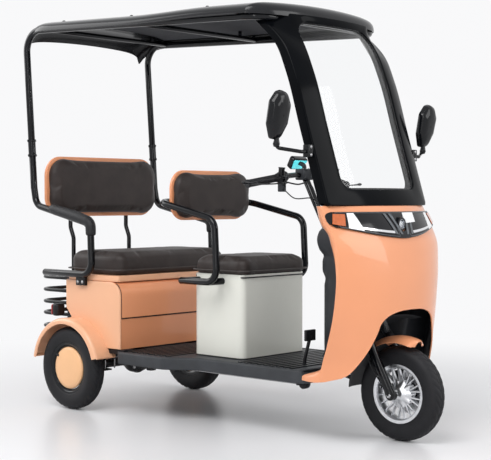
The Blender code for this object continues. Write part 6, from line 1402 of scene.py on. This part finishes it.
def soft_pad(name, low, high, corner, edge, body, hides, grow, voxel, facing="plan"):
    """A filled cover: a block smaller by grow, blown up by cloth pressure, its growth capped."""
    low, high = np.array(low, dtype=float), np.array(high, dtype=float)
    if facing == "plan":
        loop = outline(((low[0] + grow, low[1] + grow), (high[0] - grow, low[1] + grow),
            (high[0] - grow, high[1] - grow), (low[0] + grow, high[1] - grow)), corner, 10)
        shape = slab(loop, low[2] + 0.002, high[2] - grow * 1.6, "plan", edge, 8)
    else:
        loop = outline(((low[1] + grow, low[2] + grow), (high[1] - grow, low[2] + grow),
            (high[1] - grow, high[2] - grow), (low[1] + grow, high[2] - grow)), corner, 14)
        shape = slab(loop, low[0] + grow * 0.8, high[0] - grow * 1.4, "front", edge, 8)
    pad = piece(name, [(shape, LEATHER)], body, (), 80)
    remesh = pad.modifiers.new("even", "REMESH")
    remesh.mode = "VOXEL"
    remesh.voxel_size = voxel
    remesh.use_smooth_shade = True
    apply_all(pad)
    start = positions(pad.data)
    cloth = pad.modifiers.new("fill", "CLOTH")
    settings = cloth.settings
    settings.quality = 5
    settings.mass = 0.25
    settings.tension_stiffness = 18
    settings.compression_stiffness = 18
    settings.shear_stiffness = 9
    settings.bending_stiffness = 1.5
    settings.use_pressure = True
    settings.uniform_pressure_force = 4.0
    settings.effector_weights.gravity = 0.0
    cloth.collision_settings.use_collision = False
    cloth.point_cache.frame_start = 1
    cloth.point_cache.frame_end = 20
    for moment in range(1, 21):
        bpy.context.scene.frame_set(moment)
    apply_all(pad)
    bpy.context.scene.frame_set(1)
    points = positions(pad.data)
    move = points - start
    length = np.linalg.norm(move, axis=1, keepdims=True)
    move = move * np.minimum(1.0, 0.014 / np.maximum(length, 1e-9))
    points = start + move
    shift = np.array((REAR_AXLE_X, 0.0, 0.0))
    floor, roof = low + shift, high + shift
    spill = 0.006
    points = np.clip(points, floor - spill, roof + spill)
    rest_axis = 2 if facing == "plan" else 0
    points[:, rest_axis] = np.maximum(points[:, rest_axis], floor[rest_axis])
    pad.data.vertices.foreach_set("co", points.ravel())
    pad.data.update()
    subdivide = pad.modifiers.new("fine", "SUBSURF")
    subdivide.levels = 1
    subdivide.render_levels = 1
    apply_all(pad)
    pad.data.shade_smooth()
    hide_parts(*hides)
    return pad


def positions(mesh):
    """The corners of a mesh as an array."""
    points = np.empty(len(mesh.vertices) * 3)
    mesh.vertices.foreach_get("co", points)
    return points.reshape(-1, 3)


def apply_all(made):
    """Give an object the mesh that its modifiers make."""
    bpy.context.view_layer.update()
    graph = bpy.context.evaluated_depsgraph_get()
    mesh = bpy.data.meshes.new_from_object(made.evaluated_get(graph))
    made.modifiers.clear()
    made.data = mesh


def piping(loop, height, body, name):
    """A closed cord round a pad in plan: P(s) + r (cos a N + sin a Z)."""
    count = len(loop)
    flat = np.column_stack((loop, np.full(count, height)))
    ahead = np.roll(flat, -1, axis=0) - np.roll(flat, 1, axis=0)
    ahead /= np.linalg.norm(ahead, axis=1, keepdims=True)
    side = np.cross(ahead, UP)
    angle = np.linspace(0.0, 2 * math.pi, 8, endpoint=False)
    turned = np.cos(angle)[None, :, None] * side[:, None, :] + np.sin(angle)[None, :, None] * UP
    ring = flat[:, None, :] + PIPING_RADIUS * turned
    piece(name, [(grid(ring, wrap_rows=True, wrap_columns=True), PIPING)], body)


def make_seats():
    """Four filled pads, two shells behind the backrests and piping round the cushions."""
    soft_pad("driver_seat_cushion", (0.560, -0.215, 0.612), (0.878, 0.215, 0.692), 0.045, 0.024,
        "driver_seat", ("driver_cushion",), 0.006, 0.0055)
    soft_pad("bench_cushion", (-0.098, -0.352, 0.5966), (0.274, 0.352, 0.7003), 0.045, 0.026, "rear_seat",
        ("rear_cushion",), 0.007, 0.0068)
    soft_pad("driver_back_cushion", (0.4658, -0.240, 0.840), (0.5218, 0.240, 1.057), 0.075, 0.020, "root",
        ("driver_backrest",), 0.005, 0.0055, facing="front")
    soft_pad("bench_back_cushion", (-0.254, -0.340, 0.850), (-0.196, 0.340, 1.130), 0.085, 0.020, "root",
        ("rear_backrest",), 0.005, 0.0060, facing="front")
    backs = (("driver_back_shell", 0.4662, 0.4790, 0.2395, 0.841, 1.056, 0.078),
        ("bench_back_shell", -0.2535, -0.2400, 0.3395, 0.851, 1.129, 0.088))
    for name, rear, front, half, low, high, corner in backs:
        loop = outline(((-half, low), (half, low), (half, high), (-half, high)), corner, 14)
        piece(name, [(slab(loop, rear, front, "front", 0.004, 4), PEACH)])
    loops = (
        ("driver_seat_piping", 0.5620, 0.8760, 0.2130, 0.045, 0.6360, "driver_seat"),
        ("bench_piping", -0.0955, 0.2715, 0.3495, 0.045, 0.6230, "rear_seat"),
    )
    for name, rear, front, half, corner, height, body in loops:
        loop = outline(((rear, -half), (front, -half), (front, half), (rear, half)), corner, 14)
        piping(even_loop(loop, 240), height, body, name)


# Floor, frame, pedal and mirrors

def make_floor():
    """The stepped outline drawn up and hollowed, with ribs across it and lines along its edge."""
    def half_line(margin):
        return ((0.264 + margin, 0.370 - margin), (0.560, 0.370 - margin), (0.685, 0.288 - margin),
            (1.252 - margin, 0.288 - margin))
    def loop(margin, corner):
        line = half_line(margin)
        return outline([(x, -y) for x, y in line] + [(x, y) for x, y in reversed(line)],
            (corner, 0.06, 0.06, corner, corner, 0.06, 0.06, corner), 8)
    shapes = [(slab(loop(0.0, 0.030), 0.2220, 0.2720, "plan", 0.006, 5), DECK)]
    board = piece("floor_deck", shapes, "root", ("floor_board",))
    hollow = slab(loop(0.006, 0.024), 0.20, 0.2640, "plan", 0.0)
    gate = rounded_block((0.250, -0.202, 0.20), (0.300, 0.202, 0.264), 0.002, 0.0)
    notch = rounded_block((1.179, -0.020, 0.20), (1.275, 0.020, 0.30), 0.002, 0.0)
    slot = rounded_block((1.093, -0.143, 0.222), (1.163, -0.121, 0.30), 0.008, 0.0)
    carve(board, hollow, gate, notch, slot)
    shapes = []
    def rib(x, low, high):
        bar = outline(((x - 0.0085, 0.2712), (x + 0.0085, 0.2712), (x + 0.0065, 0.2764),
            (x - 0.0065, 0.2764)), 0.0012, 2)
        return slab(bar, low, high, "side", 0.0008, 1)
    for x in np.arange(0.306, 0.552, 0.034):
        shapes.append((rib(x, -0.335, 0.335), RIB))
    for x in np.arange(0.892, 1.070, 0.034):
        shapes.append((rib(x, -0.262, 0.262), RIB))
    for x in np.arange(1.096, 1.170, 0.034):
        for low, high in ((-0.262, -0.150), (-0.114, 0.262)):
            shapes.append((rib(x, low, high), RIB))
    line = [np.array((x, -y, 0.2715)) for x, y in half_line(0.010)]
    for side in (1, -1):
        path = fillet([point * np.array((1, side, 1)) for point in line], 0.05, 8)
        shapes.append((pipe(path, 0.0028, 8), DECK))
        step = fillet([point * np.array((1, side, 0)) + np.array((0, side * 0.0085,
            0.2450)) for point in line], 0.05, 8)
        shapes.append((pipe(step, 0.0032, 8), RIB))
    piece("floor_ribs", shapes)


def make_frame():
    """Filleted rails, cross tubes, down tube, head tube and the stays under the floor."""
    low, high = 0.2477, 0.2657
    shapes = []
    for side in (-1, 1):
        y = side * 0.170
        path = [np.array(point) for point in ((1.215, y, low), (0.255, y, low), (0.195, y, high),
            (-0.200, y, high))]
        shapes.append((pipe(fillet(path, 0.060, 8), 0.016, 18, 0.2), FRAME))
    for x, z in ((1.199, low), (0.862, low), (0.569, low), (0.315, low), (-0.184, high), (0.179, high)):
        shapes.append((pipe(((x, -0.170, z), (x, 0.170, z)), 0.012, 14, 0.1), FRAME))
    head_low = steer(0.3403 + 0.0372)
    path = [np.array((1.199, 0.0, low)), np.array((1.212, 0.0, 0.370)), head_low]
    shapes.append((pipe(fillet(path, 0.060, 10), 0.019, 20), FRAME))
    tube = ((0.0160, 0.0), (0.0235, 0.0), (0.0268, 0.003), (0.0268, 0.020), (0.0250, 0.026), (0.0250, 0.284),
        (0.0268, 0.290), (0.0268, 0.307), (0.0235, 0.310), (0.0160, 0.310))
    shapes.append((lathe(tube, steer(0.3403), STEER_UP, 36, closed=True), FRAME))
    stay = rounded_block((1.262, -0.030, 0.632), (1.520, 0.030, 0.640), 0.004, 0.001)
    shapes.append((stay, FRAME))
    gusset = outline(((1.205, 0.270), (1.225, 0.270), (1.222, 0.420), (1.216, 0.420)), 0.003, 2)
    shapes.append((slab(gusset, -0.026, 0.026, "side", 0.001, 1), FRAME))
    for side in (-1, 1):
        for x in (0.40, 0.75, 1.05):
            shapes.append((bolt(np.array((x, side * 0.170, low - 0.0158)), (0, 0, -1), 0.007, 0.005), STEEL))
    for side in (-1, 1):
        shelf = rounded_block((0.176, side * 0.325 - 0.027, 0.2600), (0.300, side * 0.325 + 0.027, 0.2815),
            0.004, 0.002)
        shapes.append((shelf, FRAME))
        rod = fillet([np.array(point) for point in ((0.205, side * 0.246, 0.262),
            (0.246, side * 0.246, 0.196), (0.520, side * 0.236, 0.214))], 0.03, 8)
        shapes.append((pipe(rod, 0.0085, 12), FRAME))
        for x, low in ((0.262, 0.176), (0.352, 0.188), (0.500, 0.196)):
            block = rounded_block((x - 0.016, side * 0.238 - 0.016, low),
                (x + 0.016, side * 0.238 + 0.016, 0.2300), 0.005)
            shapes.append((block, FRAME))
            shapes.append((bolt(np.array((x, side * 0.254, low + 0.020)), (0, side, 0), 0.0065, 0.006), STEEL))
    wire = smooth(((0.700, 0.120, 0.252), (0.800, 0.140, 0.240), (0.960, 0.130, 0.238), (1.100, 0.080, 0.243),
        (1.190, 0.040, 0.262)), 40)
    shapes.append((pipe(wire, 0.006, 10), RUBBER))
    piece("chassis", shapes, "root", ("main_frame",))


def make_pedal():
    """Pad, bent arm, crank and rod, with the spring as a helix r (cos a, sin a) along X."""
    y = -0.132
    pad = rounded_block((1.149, y - 0.031, 0.370), (1.161, y + 0.031, 0.414), 0.004, 0.003)
    shapes = [(pad, RUBBER)]
    for z in np.arange(0.376, 0.411, 0.0075):
        shapes.append((rounded_block((1.1465, y - 0.027, z - 0.0014), (1.150, y + 0.027, z + 0.0014), 0.0006),
            RUBBER))
    path = [np.array(point) for point in ((1.128, y, 0.196), (1.128, y, 0.292), (1.157, y, 0.390))]
    shapes.append((pipe(fillet(path, 0.060, 8), 0.007, 16), FRAME))
    crank = ((0.0, -0.015), (0.018, -0.015), (0.020, -0.012), (0.020, 0.012), (0.018, 0.015), (0.0, 0.015))
    shapes.append((lathe(crank, (1.128, y, 0.196), (0, 1, 0), 28), FRAME))
    shapes.append((pipe(((1.128, y - 0.007, 0.196), (0.180, -0.170, 0.200)), 0.0046, 12), STEEL))
    hanger = rounded_block((1.118, -0.175, 0.194), (1.138, -0.140, 0.2312), 0.003)
    shapes.append((hanger, FRAME))
    arm = outline(((1.112, 0.190), (1.144, 0.184), (1.150, 0.196), (1.120, 0.212)), 0.004, 3)
    shapes.append((slab(arm, y - 0.022, y - 0.016, "side", 0.001, 1), FRAME))
    coil = []
    for turn in np.linspace(0.0, 16 * math.pi, 260):
        coil.append((0.98 + turn / (16 * math.pi) * 0.05, -0.150 + 0.006 * math.cos(turn),
            0.212 + 0.006 * math.sin(turn)))
    shapes.append((pipe(coil, 0.0012, 6), STEEL))
    shapes.append((pipe(((1.030, -0.150, 0.212), (1.120, -0.145, 0.205)), 0.0016, 8), STEEL))
    shapes.append((pipe(((0.980, -0.150, 0.212), (0.960, -0.165, 0.236)), 0.0016, 8), STEEL))
    piece("foot_brake", shapes, "root", ("brake_pedal",))


def make_mirrors():
    """The six-cornered rim shrunk by cos(a)^0.55 while it rises with sin a, a lip and a glass."""
    share = np.array(((0.0, 1.0), (0.50, 0.93), (1.0, 0.52), (0.95, -0.40), (0.40, -1.0), (0.0, -1.02)))
    half = share * np.array((0.051, 0.091))
    loop = [tuple(point) for point in half] + [(-x, z) for x, z in half[::-1][1:-1]]
    loop = outline(loop[::-1], 0.020, 8)
    rim = even_loop(loop, 120)
    for label, side in SIDES:
        centre = np.array((1.295, side * 0.480, 1.240))
        turn = Matrix.Translation(Vector(centre)) @ Matrix.Rotation(math.radians(12), 4, "Y")
        rows = []
        for turn_up in np.linspace(0.0, math.pi / 2, 16):
            reach = max(math.cos(turn_up) ** 0.55, 0.03)
            depth = -0.012 + 0.032 * math.sin(turn_up)
            rows.append(np.column_stack((np.full(len(rim), depth), rim * reach)))
        rows.insert(0, np.column_stack((np.full(len(rim), -0.019), rim)))
        back = grid(np.array(rows), wrap_columns=True, caps=False)
        lip = []
        for reach, depth in ((1.0, -0.019), (0.97, -0.020), (0.93, -0.0185), (0.93, -0.0165)):
            lip.append(np.column_stack((np.full(len(rim), depth), rim * reach)))
        edge = grid(np.array(lip), wrap_columns=True)
        glass = []
        for reach, depth in ((0.935, -0.0168), (0.6, -0.0172), (0.02, -0.0173)):
            glass.append(np.column_stack((np.full(len(rim), depth), rim * reach)))
        plate = grid(np.array(glass), wrap_columns=True, caps=False)
        shapes = [(moved(back, turn), BLACK), (moved(edge, turn), BLACK), (moved(plate, turn), MIRROR)]
        root = np.array((screen_x(0.325, 1.112, 0.018), side * 0.3235, 1.112))
        ball = centre + np.array((-0.020, -side * 0.004, -0.105))
        path = fillet([root, root + (0.002, side * 0.060, -0.004), ball - (0.004, side * 0.012, 0.014), ball],
            0.020, 10)
        shapes.append((pipe(path, 0.0072, 16), BLACK))
        clamp = rounded_block(root - (0.015, 0.016, 0.024), root + (0.015, 0.016, 0.024), 0.006)
        shapes.append((shifted(clamp, (0.0, side * 0.017, 0.0)), BLACK))
        for z in (-0.015, 0.015):
            shapes.append((bolt(root + (0.015, side * 0.017, z), (1, 0, 0), 0.0045, 0.004), STEEL))
        joint = ((0.0, -0.013), (0.0100, -0.010), (0.0135, 0.0), (0.0110, 0.010), (0.0085, 0.024), (0.0, 0.026))
        shapes.append((lathe(joint, ball, (0.08, 0, 1), 24), BLACK))
        piece("mirror_head_" + label, shapes, "root", ("mirror_" + label,), 60)


make_shield()
make_lamp_band()
make_leg_shield()
make_windscreen()
make_roof()
make_canopy()
make_posts()
make_rear_box()
make_guards()
make_rack()
make_axle()
make_driver_box()
make_driver_arms()
make_floor()
make_frame()
make_pedal()
make_mirrors()
make_seats()


# Stage, light and camera

def place_stage():
    """A pale floor that shows the background's white beyond three metres, and keeps the shadow."""
    mesh = bpy.data.meshes.new("studio_floor")
    size = 60.0
    mesh.from_pydata([(-size, -size, 0), (size, -size, 0), (size, size, 0), (-size, size, 0)], [],
        [(0, 1, 2, 3)])
    made = shader("pale_floor", (0.80, 0.80, 0.815), 0.30, spec=0.30)
    vary(made, (0.79, 0.79, 0.805), (0.815, 0.815, 0.83), 0.6)
    grain(made, "noise", 3.0, 0.01, 0.001)
    tree = made.node_tree
    place = tree.nodes.new("ShaderNodeTexCoord")
    far = tree.nodes.new("ShaderNodeVectorMath")
    far.operation = "LENGTH"
    fade = tree.nodes.new("ShaderNodeMapRange")
    fade.interpolation_type = "SMOOTHSTEP"
    fade.inputs["From Min"].default_value = 0.9
    fade.inputs["From Max"].default_value = 3.2
    glow = tree.nodes.new("ShaderNodeEmission")
    glow.inputs["Color"].default_value = WHITE
    seen = tree.nodes.new("ShaderNodeMath")
    seen.operation = "MULTIPLY"
    mix = tree.nodes.new("ShaderNodeMixShader")
    tree.links.new(place.outputs["Object"], far.inputs[0])
    tree.links.new(far.outputs["Value"], fade.inputs["Value"])
    tree.links.new(fade.outputs["Result"], seen.inputs[0])
    tree.links.new(seen_rays(tree), seen.inputs[1])
    tree.links.new(seen.outputs[0], mix.inputs[0])
    tree.links.new(tree.nodes["Principled BSDF"].outputs[0], mix.inputs[1])
    tree.links.new(glow.outputs[0], mix.inputs[2])
    tree.links.new(mix.outputs[0], tree.nodes["Material Output"].inputs["Surface"])
    mesh.materials.append(made)
    floor = bpy.data.objects.new("studio_floor", mesh)
    bpy.context.scene.collection.objects.link(floor)


def seen_rays(tree):
    """1 for rays that come from the camera, a gloss or a glass, else 0."""
    path = tree.nodes.new("ShaderNodeLightPath")
    total = path.outputs["Is Camera Ray"]
    for output in ("Is Glossy Ray", "Is Transmission Ray"):
        either = tree.nodes.new("ShaderNodeMath")
        either.operation = "ADD"
        either.use_clamp = True
        tree.links.new(total, either.inputs[0])
        tree.links.new(path.outputs[output], either.inputs[1])
        total = either.outputs[0]
    return total


def area_light(name, place, target, size, power):
    """A white rectangular lamp turned towards a target."""
    data = bpy.data.lights.new(name, "AREA")
    data.shape = "RECTANGLE"
    data.size, data.size_y = size
    data.energy = power
    light = bpy.data.objects.new(name, data)
    bpy.context.scene.collection.objects.link(light)
    light.location = place
    light.rotation_euler = (Vector(target) - Vector(place)).to_track_quat("-Z", "Y").to_euler()


def place_world():
    """A soft pale world that camera, gloss and glass rays see at full white."""
    world = bpy.data.worlds.new("studio")
    bpy.context.scene.world = world
    world.use_nodes = True
    tree = world.node_tree
    back = tree.nodes["Background"]
    back.inputs["Color"].default_value = (0.95, 0.955, 0.97, 1.0)
    back.inputs["Strength"].default_value = 0.52
    seen = tree.nodes.new("ShaderNodeBackground")
    seen.inputs["Color"].default_value = WHITE
    seen.inputs["Strength"].default_value = 1.0
    mix = tree.nodes.new("ShaderNodeMixShader")
    tree.links.new(seen_rays(tree), mix.inputs[0])
    tree.links.new(back.outputs[0], mix.inputs[1])
    tree.links.new(seen.outputs[0], mix.inputs[2])
    tree.links.new(mix.outputs[0], tree.nodes["World Output"].inputs["Surface"])


def place_camera():
    """The camera solved from the photo: 90.2 mm, 42.24 degrees round, 1.465 degrees down."""
    data = bpy.data.cameras.new("studio_camera")
    data.lens = 90.2
    data.sensor_width = 36.0
    data.clip_end = 200.0
    camera = bpy.data.objects.new("studio_camera", data)
    bpy.context.scene.collection.objects.link(camera)
    camera.location = (3.57575, -3.909, 0.934)
    turn, tip = math.radians(42.24), math.radians(1.465)
    look = Vector((-math.sin(turn) * math.cos(tip), math.cos(turn) * math.cos(tip), -math.sin(tip)))
    camera.rotation_euler = look.to_track_quat("-Z", "Y").to_euler()
    bpy.context.scene.camera = camera


bpy.context.scene.view_settings.view_transform = "Standard"
place_stage()
place_world()
place_camera()
area_light("key", (1.2, -3.2, 4.2), (0.1, 0.0, 0.6), (3.0, 2.2), 135)
area_light("front_fill", (4.2, 1.2, 2.4), (0.6, 0.0, 0.6), (2.4, 2.4), 62)
area_light("rear_fill", (-3.4, -1.6, 2.6), (-0.4, 0.0, 0.6), (2.4, 2.4), 52)
area_light("strip", (2.6, -4.4, 1.6), (0.4, 0.0, 0.7), (0.5, 2.6), 26)
